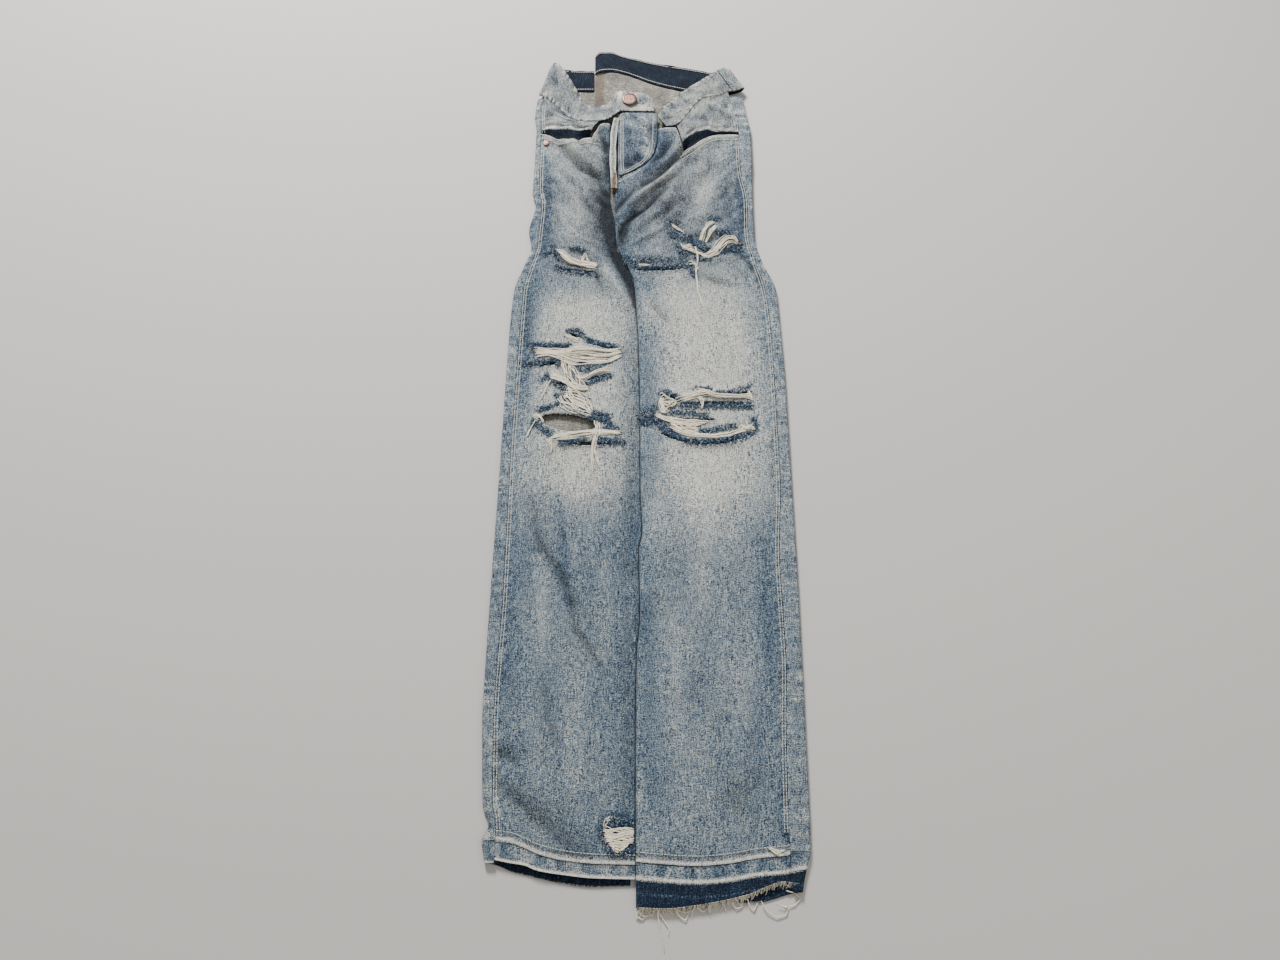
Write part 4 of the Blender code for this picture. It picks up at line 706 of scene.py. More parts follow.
class Leg:
    """One leg's tables, and the side of it that faces outwards."""

    def __init__(self, name, sections, folds, hem, lip, outward, creases, paint):
        self.name = name
        self.sections = sections
        self.hem = hem
        self.lip = lip
        self.outward = outward
        self.folds = folds
        self.creases = Strokes(creases)
        self.paint = Strokes(paint)
        self.known = {}

    def inner_turn(self, y):
        """The middle of the front's turned inner edge."""
        return self.at(y)[5] + self.outward * EDGE_FOLD

    def flat_end(self, y):
        """Where the back leaves the floor to turn up."""
        return self.at(y)[0] - self.outward * EDGE_FOLD

    def hem_x(self, t):
        """x at a fraction of the way across the leg at the hem."""
        outer = self.at(HEM_BASE)[0]
        return outer + (self.inner(HEM_BASE) - outer) * t

    def inner(self, y):
        """The inner edge of the front at a place along the length."""
        if self.outward > 0:
            return read(STAND_EDGE, y, 1) if y > STAND_EDGE[0][0] else read(INNER_EDGE, y, 1)
        if y > RISE_RIGHT[0][0]:
            return read(RISE_RIGHT, y, 1)
        return read(INNER_EDGE, y, 1) - SEAM_GAP

    def at(self, y):
        """The section's numbers at a place along the length, remembered."""
        key = round(y, 2)
        if key not in self.known:
            folds = []
            for fold in self.folds:
                reach = FOLD_REACH * fold[4]
                if min(fold[1], fold[3]) - reach <= y <= max(fold[1], fold[3]) + reach:
                    folds.append(fold)
            numbers = [read(self.sections, y, column) for column in range(1, 6)]
            self.known[key] = (*numbers, self.inner(y), folds)
        return self.known[key]

    def top(self, x, y):
        """The height of the solid's upper surface."""
        _, seam, low, middle, high, inner, folds = self.at(y)
        t = clamp((x - seam) / (inner - seam), 0.0, 1.0)
        bulge = middle - (low + high) / 2
        base = low + (high - low) * t + bulge * math.sin(math.pi * t) ** 0.8
        edge = min(1.0, 3.2 * t, 5.0 * (1.0 - t) + 0.25)
        for x1, y1, x2, y2, half, height in folds:
            dx, dy = x2 - x1, y2 - y1
            s = clamp(((x - x1) * dx + (y - y1) * dy) / (dx * dx + dy * dy), 0.0, 1.0)
            gap = math.hypot(x - x1 - dx * s, y - y1 - dy * s) / half
            if gap < FOLD_REACH:
                base += height * math.exp(-gap * gap) * (0.55 + 0.45 * math.sin(math.pi * s)) * edge
        floor = 2 * DENIM + 2 * SEAM_GAP + LAYER_CLEAR + back_lift(x, y)
        floor += CROTCH_CLEAR * ease(t, 0.7, 0.95) * ease(y, CROTCH - 60, CROTCH - 22)
        return floor + soft_plus(base - floor)

    def fine(self, x, y):
        """The cloth's upper surface with its finer creases and puckers."""
        z = self.top(x, y)
        for row, strength in self.creases.near(x, y):
            z += row[0] * strength
        hips = ease(y, 150.0, 260.0)
        side = self.outward
        slant = 0.5 * side * hips
        across = x - slant * y
        z += (0.5 + 1.1 * hips) * noise_at(across / 22.0, (y + slant * x) / 38.0, side)
        z += 0.9 * hips * (0.6 - 2.2 * abs(noise_at(across / 19.0, y / 42.0, 8.0 + side)))
        z += (0.16 + 0.34 * hips) * noise_at(across / 8.0, y / 14.0, 5.0 * side)
        return z + 0.4 * pucker(self, x, y)

    def under(self, y):
        """The lowest point of the front's turned-under inner edge."""
        return (DENIM + SEAM_GAP + 0.2 + back_lift(self.inner(y), y)) * ease(y, CROTCH - 22, CROTCH)


# How far from the outseam the roping ends
PUCKER_REACH = 26.0


def pucker(leg, x, y):
    """The roped ridges beside the outseam, from about -1 to 1."""
    seam = leg.at(y)[1]
    away = abs(x - seam)
    if away > PUCKER_REACH:
        return 0.0
    phase = y / 9.5 + 0.05 * away * leg.outward + 1.6 * noise_at(y / 30.0, 3.0, leg.outward)
    strength = hump(away, 9.0) * (0.6 + 0.4 * noise_at(y / 50.0, 8.0, leg.outward))
    return strength * math.sin(2 * math.pi * phase)


def section_x(leg, y, t):
    """x at a fraction of the way from the outseam to the inner edge's turn."""
    seam = leg.at(y)[1]
    return seam + (leg.inner_turn(y) - seam) * t


# How much of the way to its wanted place a point goes in one round
SETTLING = 0.6


def settle(y, wanted, rounds):
    """A place along the length that agrees with a rule for that same place."""
    for _ in range(rounds):
        y += (wanted(y) - y) * SETTLING
    return y


def toward(leg, start, line, share, shift=0.0):
    """y as a blend from a straight start to a line that is read at x."""
    def wanted(t, y):
        return start + (line(section_x(leg, y, t)) + shift - start) * share
    return lambda t: settle(start, lambda y: wanted(t, y), 6)


def straight(y):
    """A row at one place along the length."""
    return lambda t: y


def hem_line(leg, column):
    """One of the hem table's lines, read at x."""
    return lambda x: read(leg.hem, x, column)


def seat_seam(y):
    """x of the centre back seam, straight across the yokes."""
    if y < YOKE_SEAM:
        return read(CENTRE_BACK, y, 1)
    (low_y, low_x), (high_y, high_x) = CENTRE_BACK[-1], CENTRE_BACK_END
    return low_x + (y - low_y) * (high_x - low_x) / (high_y - low_y)


def spread(stretches):
    """Places along Y from a list of stretches, each with its own spacing."""
    places = [stretches[0][0]]
    for start, end, spacing in stretches:
        count = max(1, round(abs(end - start) / spacing))
        places += [start + (end - start) * k / count for k in range(1, count + 1)]
    return places


def right_lip(x):
    """The right front's upper edge: the pocket lip, then up to the waistband."""
    if x < RIGHT_RISE_TOP[0][0]:
        return read(RIGHT_MOUTH, x, 1)
    return read(RIGHT_RISE_TOP, x, 1)


def left_lip(x):
    """The left front's upper edge: below the buttonhole end, then the lip."""
    if x > LEFT_RISE_TOP[-1][0]:
        return read(LEFT_MOUTH, x, 1)
    return read(LEFT_RISE_TOP, x, 1)


SHIFT = Vector((*ORIGIN_SHIFT, 0.0))
# How many steps the grids have: across a front and round its turned edge;
# across a back, round its outer edge and from there to the outseam
FRONT_FLAT = 112
FRONT_TURN = 8
BACK_FLAT = 14
BACK_TURN = 12
BACK_TOP = 4
YOKE_FLAT = 5 * BACK_FLAT
YOKE_TALL = 54
LIP_STEPS = 36
# How far a cut edge hangs down, as the thickness of the cloth
RIM = 1.1
# The merging distance of doubled points, in metres
MERGED = 0.00002
# Shares of the way from the hem's seam to the first straight row
FRONT_FOOT = (0.0, 0.04, 0.09, 0.16, 0.25, 0.35, 0.45, 0.55, 0.66, 0.78, 0.9)
BACK_FOOT = (0.0, 0.1, 0.25, 0.4, 0.6, 0.8)
FRONT_LEVELS = (
    # from, to, spacing
    (HEM_START, -70, 2), (-70, 105, 1.15), (105, 175, 1.8), (175, 235, 1.15), (235, HIP_START, 1.5),
)
BACK_LEVELS = (
    # from, to, spacing
    (HEM_START, YOKE_SEAM - SEAM_GAP, 2.2),
)
# The open hole at the right knee, where the back lies close under the front:
# its middle, how wide and tall it is and how far the back is raised. The back's
# reverse is painted lighter there too: painted light against the hole's shade.
HOLE = (-89.0, -26.0, 42.0, 24.0)
HOLE_LIFT = 5.0
# How far round a gap it is still looked for, and the distance where none is near
GAP_REACH = 14
NO_GAP = 99.0


def torn_paint(frays, yarns):
    """Rows of paint for the frayed edges, and rows of painted shade for the cloth below bared
    yarns.
    """
    rows = [("fray", blue, scatter + 1.9, points) for _, _, scatter, blue, points in frays]
    for count, _, _, first, second in yarns:
        if count >= 10:
            shares = [k / 6 for k in range(7)]
            ends = [(along_line(first, t), along_line(second, t)) for t in shares]
            half = sum(math.dist(one, two) for one, two in ends) / len(ends) / 2
            middle = tuple(((one[0] + two[0]) / 2, (one[1] + two[1]) / 2) for one, two in ends)
            rows.append(("under", 1.0, max(2.0, 0.8 * half), middle))
    return tuple(rows)


def along_line(points, t):
    """The place at a fraction of the way along a line of points."""
    lengths = [math.dist(a, b) for a, b in zip(points, points[1:])]
    left = t * sum(lengths)
    for (a, b), length in zip(zip(points, points[1:]), lengths):
        if left <= length or b is points[-1]:
            s = clamp(left / length, 0.0, 1.0)
            return tuple(one + (two - one) * s for one, two in zip(a, b))
        left -= length
    return points[-1]


RIGHT = Leg("right", RIGHT_SECTIONS, RIGHT_FOLDS, RIGHT_HEM, right_lip, -1, RIGHT_CREASES,
            RIGHT_PAINT + torn_paint(RIGHT_FRAYS, RIGHT_YARNS))
LEFT = Leg("left", LEFT_SECTIONS, LEFT_FOLDS, LEFT_HEM, left_lip, 1, LEFT_CREASES,
           LEFT_PAINT + torn_paint(LEFT_FRAYS, LEFT_YARNS))
FADES = {"right": RIGHT_FADE, "left": LEFT_FADE}
GAPS = {"right": RIGHT_GAPS, "left": LEFT_GAPS}


def shake(x, y, size, seed=0.0):
    """Smooth noise from about -1 to 1 at a place, on patches of one size."""
    return noise_at(x / size, y / size, seed)


def ridge(x, y, size, seed=0.0):
    """Folds with sharp tops, from about -0.6 to 1, at a place."""
    return 1.0 - 2.6 * abs(shake(x, y, size, seed))


def spot(x, y, middle_x, middle_y, wide, tall):
    """A soft round mark, 1 at its middle."""
    return math.exp(-((x - middle_x) / wide) ** 2 - ((y - middle_y) / tall) ** 2)


def gap_edge(gap, x, y):
    """How far a place is outside a gap's edge, below zero inside it."""
    cx, cy, long, wide, turn, bow = gap
    angle = math.radians(turn)
    dx, dy = x - cx, y - cy
    along = dx * math.cos(angle) + dy * math.sin(angle)
    across = dy * math.cos(angle) - dx * math.sin(angle)
    inside = 1.0 - (2 * along / long) ** 2
    if inside <= 0.0:
        return math.hypot(abs(along) - long / 2, across) + 0.5
    reach = math.sqrt(inside)
    middle = bow * (0.5 - inside)
    return abs(across - middle) - wide / 2 * reach


def nearest_gap(leg, x, y):
    """The least distance from a place to any gap of a leg's front."""
    best = NO_GAP
    for gap in GAPS[leg.name]:
        reach = gap[2] / 2 + GAP_REACH
        if abs(x - gap[0]) < reach and abs(y - gap[1]) < reach:
            best = min(best, gap_edge(gap, x, y))
    return best


def worn(fade, beige, dark=0.0, bare=0.0):
    """One point's fade, beige, painted shade and bared yarn, whose fade, shade and bared yarn stay
    between 0 and 1.
    """
    return (clamp(fade, 0, 1), beige, clamp(dark, 0, 1), clamp(bare, 0, 1))


def panel_wear_and_shade(leg, x, y):
    """Fade, beige, painted shade and bared yarn at a place of a leg's panel."""
    _, seam, _, _, _, inner, _ = leg.at(y)
    t = clamp((x - seam) / (inner - seam), 0.0, 1.0)
    side, middle, inside, beige = (read(FADES[leg.name], y, column) for column in (1, 2, 3, 4))
    bell = math.sin(math.pi * t) ** 0.85
    fade = side + (inside - side) * t + (middle - (side + inside) / 2) * bell
    warm = beige * bell
    dark = 0.0
    bare = 0.0
    for row, strength in leg.paint.near(x, y):
        # Dark rows are painted shade in creases, hollows and between the legs, in places also
        # darker unfaded indigo.
        if row[0] == "dark":
            dark += row[1] * strength
        elif row[0] == "fade":
            fade += row[1] * strength
        elif row[0] == "fray":
            patchy = 0.8 + 1.1 * shake(x, y, 3.5, 3.0)
            fade -= 0.44 * row[1] * strength * patchy
            bare += 0.08 * strength
        else:
            # Beneath bared yarns the cloth is darkened: painted shade below and between the yarns.
            fade -= 0.36 * strength
            dark += 0.45 * strength
    # At the hips: darker patches of painted wrinkle shade, slanted mottling, and a painted
    # highlight on the ridges of the folds that Leg.fine raises.
    hips = ease(y, 200.0, 300.0)
    slope = y * leg.outward
    dark += hips * 0.42 * max(0.0, shake(x + 0.5 * slope, y - x * 0.5, 26.0, 12.0))
    fade += hips * 0.14 * shake(x - 0.6 * slope, y, 13.0, 11.0)
    slant = 0.5 * leg.outward * hips
    fade += hips * 0.07 * ridge((x - slant * y) / 19.0, y / 42.0, 1.0, 8.0 + leg.outward)
    # Roping beside the outseam: paler ridges from wear, and darker troughs that are partly unworn
    # indigo and partly painted shade.
    roped = pucker(leg, x, y)
    fade += 0.20 * roped
    dark += 0.30 * max(0.0, -roped)
    fade += 0.09 * shake(x, y * 0.35, 26.0, 2.0) + 0.03 * shake(x, y * 0.5, 9.0, 4.0)
    away = nearest_gap(leg, x, y)
    if away < 12.0:
        torn = hump(away - 1.8, 2.6) * (0.75 + 0.9 * shake(x, y, 4.0, 3.0))
        fade += 0.08 * hump(away, 9.0) - 0.42 * torn
        bare += 0.12 * torn
    hem = read(leg.hem, x, 1)
    above = y - hem
    if above < 16.0:
        bare += 0.85 * hump(above - 2.2, 1.9) * (0.8 + 0.3 * shake(x, y, 5.0, 6.0))
        dark += 0.5 * hump(above - 6.5, 2.0)
        fade += 0.12 * math.sin(x / 4.2 + 3.0 * shake(x, y, 16.0)) * hump(above, 7.0)
    lip = leg.lip(x)
    below = lip - y
    if below < 14.0 and y > HIP_START - 20:
        bare += 0.55 * hump(below, 1.2)
        dark += 0.45 * hump(below - 8.8, 1.6)
        fade += 0.10 * hump(below - 4.0, 3.0)
    return worn(fade, warm, dark, bare)


def grid(wide, tall, place, wear_and_shade):
    """A grid whose point i, j goes where place says, with its fade, beige, painted shade and bared
    yarn.
    """
    bm = bmesh.new()
    bmesh.ops.create_grid(bm, x_segments=wide, y_segments=tall, size=0.5)
    # The mesh keeps fade, beige, painted shade and bared yarn in one colour attribute.
    layer = bm.verts.layers.float_color.new("wear_and_shade")
    for vert in bm.verts:
        i = round((vert.co.x + 0.5) * wide)
        j = round((vert.co.y + 0.5) * tall)
        point = place(i, j)
        vert[layer] = wear_and_shade(point.x, point.y, i, j)
        vert.co = point * MM
    return bm


def add_rim(bm, depth=RIM):
    """A cut edge as thick as the cloth, hung from every open edge."""
    edges = [edge for edge in bm.edges if edge.is_boundary]
    made = bmesh.ops.extrude_edge_only(bm, edges=edges)["geom"]
    verts = [item for item in made if isinstance(item, bmesh.types.BMVert)]
    bmesh.ops.translate(bm, verts=verts, vec=(0, 0, -depth * MM))


def add_piece(name, bm, finishes, node, smooth=True):
    """A finished piece from a bmesh: it rides on the part and stands for a node."""
    bmesh.ops.translate(bm, verts=bm.verts, vec=SHIFT * MM)
    for vert in bm.verts:
        vert.co.z = max(vert.co.z, 0.0)
    bmesh.ops.recalc_face_normals(bm, faces=bm.faces)
    mesh = bpy.data.meshes.new(name)
    bm.to_mesh(mesh)
    bm.free()
    if smooth:
        mesh.shade_smooth()
    for finish in finishes:
        mesh.materials.append(finish)
    return link_piece(name, mesh, node)


def rolled(x, y, low, high, angle):
    """A place on a rolled edge between two heights."""
    return Vector((x, y, (high + low) / 2 + (high - low) / 2 * math.sin(angle)))


def turned_under(leg, y, high, share):
    """A place on a front's inner edge, from on top at 0 to underneath at 1."""
    angle = math.pi / 2 * (1 - 2 * share)
    centre = leg.inner_turn(y)
    x = centre - leg.outward * EDGE_FOLD * math.cos(angle)
    return rolled(x, y, leg.under(y) + 0.1, high, angle)


def make_front(leg, finishes):
    """A leg's front panel with its rips cut out."""
    levels = []
    for share in FRONT_FOOT:
        start = HEM_BASE + (HEM_START - HEM_BASE) * share
        levels.append(toward(leg, start, hem_line(leg, 1), 1.0 - share, SEAM_GAP))
    levels += [straight(y) for y in spread(FRONT_LEVELS)]
    for k in range(1, LIP_STEPS + 1):
        levels.append(toward(leg, HIP_START, leg.lip, k / LIP_STEPS))

    def place(i, j):
        t = min(i / FRONT_FLAT, 1.0)
        y = levels[j](t)
        seam = leg.at(y)[1]
        start = seam - leg.outward * SEAM_GAP
        centre = leg.inner_turn(y)
        if i <= FRONT_FLAT:
            x = start + (centre - start) * t
            z = leg.fine(x, y) - 0.7 * hump(abs(x - seam), 1.3)
            away = nearest_gap(leg, x, y)
            if away < 9.0:
                z += 0.7 * hump(away - 1.0, 2.6) * (0.6 + 0.8 * shake(x, y, 6.0, 9.0))
            above = y - read(leg.hem, x, 1)
            if above < 12.0:
                z += 0.5 * hump(above - 2.5, 2.2)
            return Vector((x, y, z))
        return turned_under(leg, y, leg.fine(centre, y), (i - FRONT_FLAT) / FRONT_TURN)

    bm = grid(FRONT_FLAT + FRONT_TURN, len(levels) - 1, place,
              lambda x, y, i, j: panel_wear_and_shade(leg, x, y))
    holes = []
    for face in bm.faces:
        x, y, _ = face.calc_center_median() / MM
        if nearest_gap(leg, x, y) + 0.5 * shake(x, y, 2.5, 1.0) < 0.0:
            holes.append(face)
    bmesh.ops.delete(bm, geom=holes, context="FACES")
    add_rim(bm)
    name = "denim_front_" + leg.name
    return add_piece(name, bm, finishes, "front_" + leg.name)


def back_place(leg, levels, inner, lift=None):
    """Where a back's points go: flat below, then turned up to the outseam."""
    def place(i, j):
        t = clamp(1.0 - i / BACK_FLAT, 0.0, 1.0)
        y = levels[j](t)
        seam, flat_end = leg.at(y)[1], leg.flat_end(y)
        if i <= BACK_FLAT:
            start = inner(y)
            x = start + (flat_end - start) * (1.0 - t)
            z = DENIM - 0.1 + back_lift(x, y) + (lift(x, y) if lift else 0.0)
            if i < BACK_FLAT:
                z += 0.25 * shake(x, y, 14.0, 3.0) + 0.25 + HOLE_LIFT * spot(x, y, *HOLE)
                return Vector((x, y, z))
        roped = pucker_edge(leg, y)
        high = leg.top(seam, y) + 0.3 * roped
        low = back_lift(flat_end, y) + 0.05 + (lift(flat_end, y) if lift else 0.0)
        if i <= BACK_FLAT + BACK_TURN:
            angle = math.pi / 2 * (2 * (i - BACK_FLAT) / BACK_TURN - 1)
            reach = EDGE_FOLD + 0.25 * roped * math.cos(angle)
            return rolled(flat_end + leg.outward * reach * math.cos(angle), y, low, high, angle)
        t = (i - BACK_FLAT - BACK_TURN) / BACK_TOP
        x = flat_end + (seam - flat_end) * t
        return Vector((x, y, high - 0.5 * t ** 4 + 0.25 * math.sin(math.pi * t)))
    return place


def pucker_edge(leg, y):
    """The roping of the turned outer edge, from about -1 to 1."""
    phase = y / 11.5 + 2.2 * shake(y, 0.0, 26.0, leg.outward * 2.0)
    strength = clamp(0.45 + 1.2 * shake(y, 0.0, 45.0, 5.0), 0.0, 1.0)
    return math.sin(2 * math.pi * phase) * strength


def edge_wear_and_shade(leg, x, y, i):
    """Fading, bared yarn, painted light and painted shade of the turned outer edge and of the
    back's reverse.
    """
    if i < BACK_FLAT:
        # The reverse is painted lighter round the knee hole: painted light against the shade in the
        # hole.
        near = spot(x, y, *HOLE)
        return worn(0.45 + 0.15 * shake(x, y, 18.0) + 0.22 * near, 0.25 - 0.25 * near, 0.1)
    roped = pucker_edge(leg, y)
    base = read(FADES[leg.name], y, 1) + 0.10 * shake(x, y, 30.0, 1.0)
    over = (i - BACK_FLAT - BACK_TURN / 2) / (BACK_TURN / 2 + BACK_TOP)
    # The roping's ridges are paler from wear and its troughs darker, partly painted shade. The roll
    # is painted lighter towards its top and darker on its underside by the floor: painted light and
    # shade.
    fade = base + 0.04 + 0.09 * roped + 0.16 * shake(x, y, 7.0, 7.0) + 0.06 * over
    dark = 0.12 * max(0.0, -roped) + 0.35 * max(0.0, 0.35 - over)
    bare = 0.22 * max(0.0, roped) * hump(over - 0.45, 0.25)
    return worn(fade, 0.10, dark, bare)


def show_reverse(bm, wide, flat):
    """The flat part of a turned-up grid shows the cloth's reverse."""
    bm.verts.index_update()
    for face in bm.faces:
        if all(vert.index % (wide + 1) <= flat for vert in face.verts):
            face.material_index = 1


def make_back(leg, finishes):
    """A leg's back panel, from the hem to the yoke."""
    def inner(y):
        seat = seat_seam(y) + leg.outward * SEAM_GAP
        edge = leg.inner(min(y, CROTCH)) + leg.outward * (EDGE_FOLD + DENIM + SEAM_GAP)
        return edge + (seat - edge) * ease(y, CROTCH + 4, CROTCH + 26)

    def below(share):
        def place_y(t):
            seam = read(leg.hem, leg.hem_x(t), 1) + SEAM_GAP
            return seam + (HEM_START - seam) * share
        return place_y

    levels = [below(share) for share in BACK_FOOT]
    levels += [straight(y) for y in spread(BACK_LEVELS)]
    wide = BACK_FLAT + BACK_TURN + BACK_TOP
    bm = grid(wide, len(levels) - 1, back_place(leg, levels, inner),
              lambda x, y, i, j: edge_wear_and_shade(leg, x, y, i))
    show_reverse(bm, wide, BACK_FLAT)
    return add_piece("denim_back_" + leg.name, bm, finishes, "back_" + leg.name)


def yoke_lift(x, y):
    """The yokes rise to the waistband, and the left one at the centre back."""
    near = ease(y, 455, 478)
    fold = ease(y, 440, 500) * (1.0 - ease(abs(x + 50), 12.0, 40.0))
    return BAND_LIFT * near * (1 - fold) + 3.2 * fold * (1.0 if x > -68 else 0.0)


def make_yoke(leg, finishes):
    """A yoke, whose reverse shows inside the open waist."""
    node = "yoke_" + leg.name

    def inner(y):
        seam = seat_seam(y) + leg.outward * SEAM_GAP
        if leg is LEFT:
            return seam + (-67.0 - seam) * ease(y, 436, 456)
        return seam

    def level(share):
        def wanted(t, y):
            end = leg.flat_end(y)
            top = read(YOKE_TOPS[node], end + (inner(y) - end) * t, 1)
            return YOKE_SEAM + (top - YOKE_SEAM) * share
        return lambda t: settle(YOKE_SEAM, lambda y: wanted(t, y), 8)

    def wear_and_shade(x, y, i):
        if i >= BACK_FLAT:
            return edge_wear_and_shade(leg, x, y, i)
        strip = math.exp(-((x + 60.0) / 6.0) ** 4) if leg is LEFT else 0.0
        strip *= 0.8 + 0.5 * shake(x, y, 3.0)
        fade = 0.62 + 0.22 * shake(x, y, 16.0, 2.0) - 0.3 * strip
        return worn(fade, 0.35 + 0.6 * strip, 0.25 * ease(y, 440, 405))

    levels = [level(k / YOKE_TALL) for k in range(YOKE_TALL + 1)]
    wide = YOKE_FLAT + BACK_TURN + BACK_TOP
    more = YOKE_FLAT - BACK_FLAT
    simple = back_place(leg, levels, inner, yoke_lift)

    def place(i, j):
        if i <= YOKE_FLAT:
            t = 1.0 - i / YOKE_FLAT
            y = levels[j](t)
            x = inner(y) + (leg.flat_end(y) - inner(y)) * (1.0 - t)
            z = DENIM + back_lift(x, y) + yoke_lift(x, y) + 0.5 * shake(x, y, 22.0, 4.0)
            if leg is LEFT:
                z += 1.0 * ease(x, seat_seam(y) + 12.0, seat_seam(y) + 2.0)
            if i < YOKE_FLAT:
                return Vector((x, y, z))
        return simple(i - more, j)

    bm = grid(wide, YOKE_TALL, place, lambda x, y, i, j: wear_and_shade(x, y, i - more))
    show_reverse(bm, wide, YOKE_FLAT)
    return add_piece("denim_" + node, bm, finishes, node)


# A strap's spacing of rows, the steps round each of its edges, and its crown
STRAP_SPACING = 1.5
STRAP_TURN = 4
STRAP_CROWN = 0.35


def strap_rows(stations, spacing):
    """Stations along a strap, on smooth curves, at an even spacing."""
    lengths = [0.0]
    for one, two in zip(stations, stations[1:]):
        middle = [(b - a + d - c) / 2 for a, b, c, d in zip(one[:3], two[:3], one[3:], two[3:])]
        lengths.append(lengths[-1] + math.sqrt(sum(part * part for part in middle)))
    table = [(length, *station) for length, station in zip(lengths, stations)]
    count = max(2, round(lengths[-1] / spacing))
    rows = []
    for k in range(count + 1):
        place = lengths[-1] * k / count
        numbers = [read(table, place, column) for column in range(1, 7)]
        rows.append((Vector(numbers[:3]), Vector(numbers[3:]), place))
    return rows


def strap_frames(rows):
    """For each row of a strap its lower edge, its upper edge and its normal."""
    frames = []
    for j, (low, up, _) in enumerate(rows):
        before, after = rows[max(j - 1, 0)], rows[min(j + 1, len(rows) - 1)]
        along = (after[0] + after[1]) - (before[0] + before[1])
        frames.append((low, up, (up - low).cross(along).normalized()))
    return frames


def make_strap(name, stations, finishes, wear_and_shade, node, across=18, ruffle=0.0):
    """A doubled strip of cloth with round edges that follows its stations."""
    rows = strap_rows(stations, STRAP_SPACING)
    last = len(rows) - 1
    around = 2 * across + 2 * STRAP_TURN
    frames = strap_frames(rows)

    def section(i):
        """A place round the strap: the fraction across and the side."""
        if i <= across:
            return 0.03 + 0.94 * i / across, 1.0
        if i < across + STRAP_TURN:
            angle = math.pi * (i - across) / STRAP_TURN
            return 0.97 + 0.03 * math.sin(angle), math.cos(angle)
        if i <= 2 * across + STRAP_TURN:
            return 0.97 - 0.94 * (i - across - STRAP_TURN) / across, -1.0
        angle = math.pi * (i - 2 * across - STRAP_TURN) / STRAP_TURN
        return 0.03 - 0.03 * math.sin(angle), -math.cos(angle)

    def place(i, j):
        low, up, normal = frames[j]
        t, side = section(i)
        point = low.lerp(up, t)
        off = side * (DOUBLED / 2 + STRAP_CROWN * math.sin(math.pi * t) * 0.5)
        off += 0.22 * side * shake(rows[j][2], t * 40.0, 9.0, 2.0)
        off += ruffle * ridge(rows[j][2], t * 22.0, 19.0, 5.0)
        return point + normal * off

    bm = grid(around, last, place, lambda x, y, i, j: wear_and_shade(rows[j][2], *section(i), x, y))
    bmesh.ops.remove_doubles(bm, verts=bm.verts, dist=MERGED)
    return add_piece(name, bm, finishes, node)


def band_wear_and_shade(place, t, side, x, y):
    """The waistband: pale outside with dark roped edges, navy inside; its ruffle's ridges carry a
    painted highlight and its ropes' troughs partly painted shade.
    """
    rope = math.sin(2 * math.pi * (place / 10.0 + 1.6 * shake(place, t, 22.0)))
    edge = hump(t - 0.03, 0.09) + hump(t - 0.97, 0.09)
    if side < 0:
        fade = 0.02 + 0.06 * shake(place, t * 40, 14.0) + 0.08 * edge * max(0.0, rope)
        return worn(fade, 0.0, 0.30 + 0.25 * edge * max(0.0, -rope))
    # A painted highlight on the ridges of the ruffle that make_strap raises.
    fade = 0.38 + 0.10 * ridge(place, t * 22.0, 19.0, 5.0) + 0.30 * shake(place, t * 40, 15.0)
    fade += 0.14 * shake(place, t * 40, 6.0, 3.0) + 0.12 * rope * edge + 0.10 * ease(x, 20.0, 60.0)
    dark = 0.35 * max(0.0, shake(place - t * 20, t * 30, 16.0, 9.0))
    # The roped edges' troughs are darker, partly painted shade.
    dark += 0.30 * edge * max(0.0, -rope) + 0.55 * spot(x, y, -13.0, 471.0, 6.0, 3.0)
    dark += 0.9 * spot(x, y, 34.0, 425.0, 5.0, 2.0)
    bare = 0.3 * edge * max(0.0, rope) + 0.5 * spot(x, y, -4.0, 443.0, 17.0, 5.0)
    bare += 0.9 * spot(x, y, -32.0, 468.0, 3.0, 12.0)
    return worn(fade, 0.75, dark, bare)


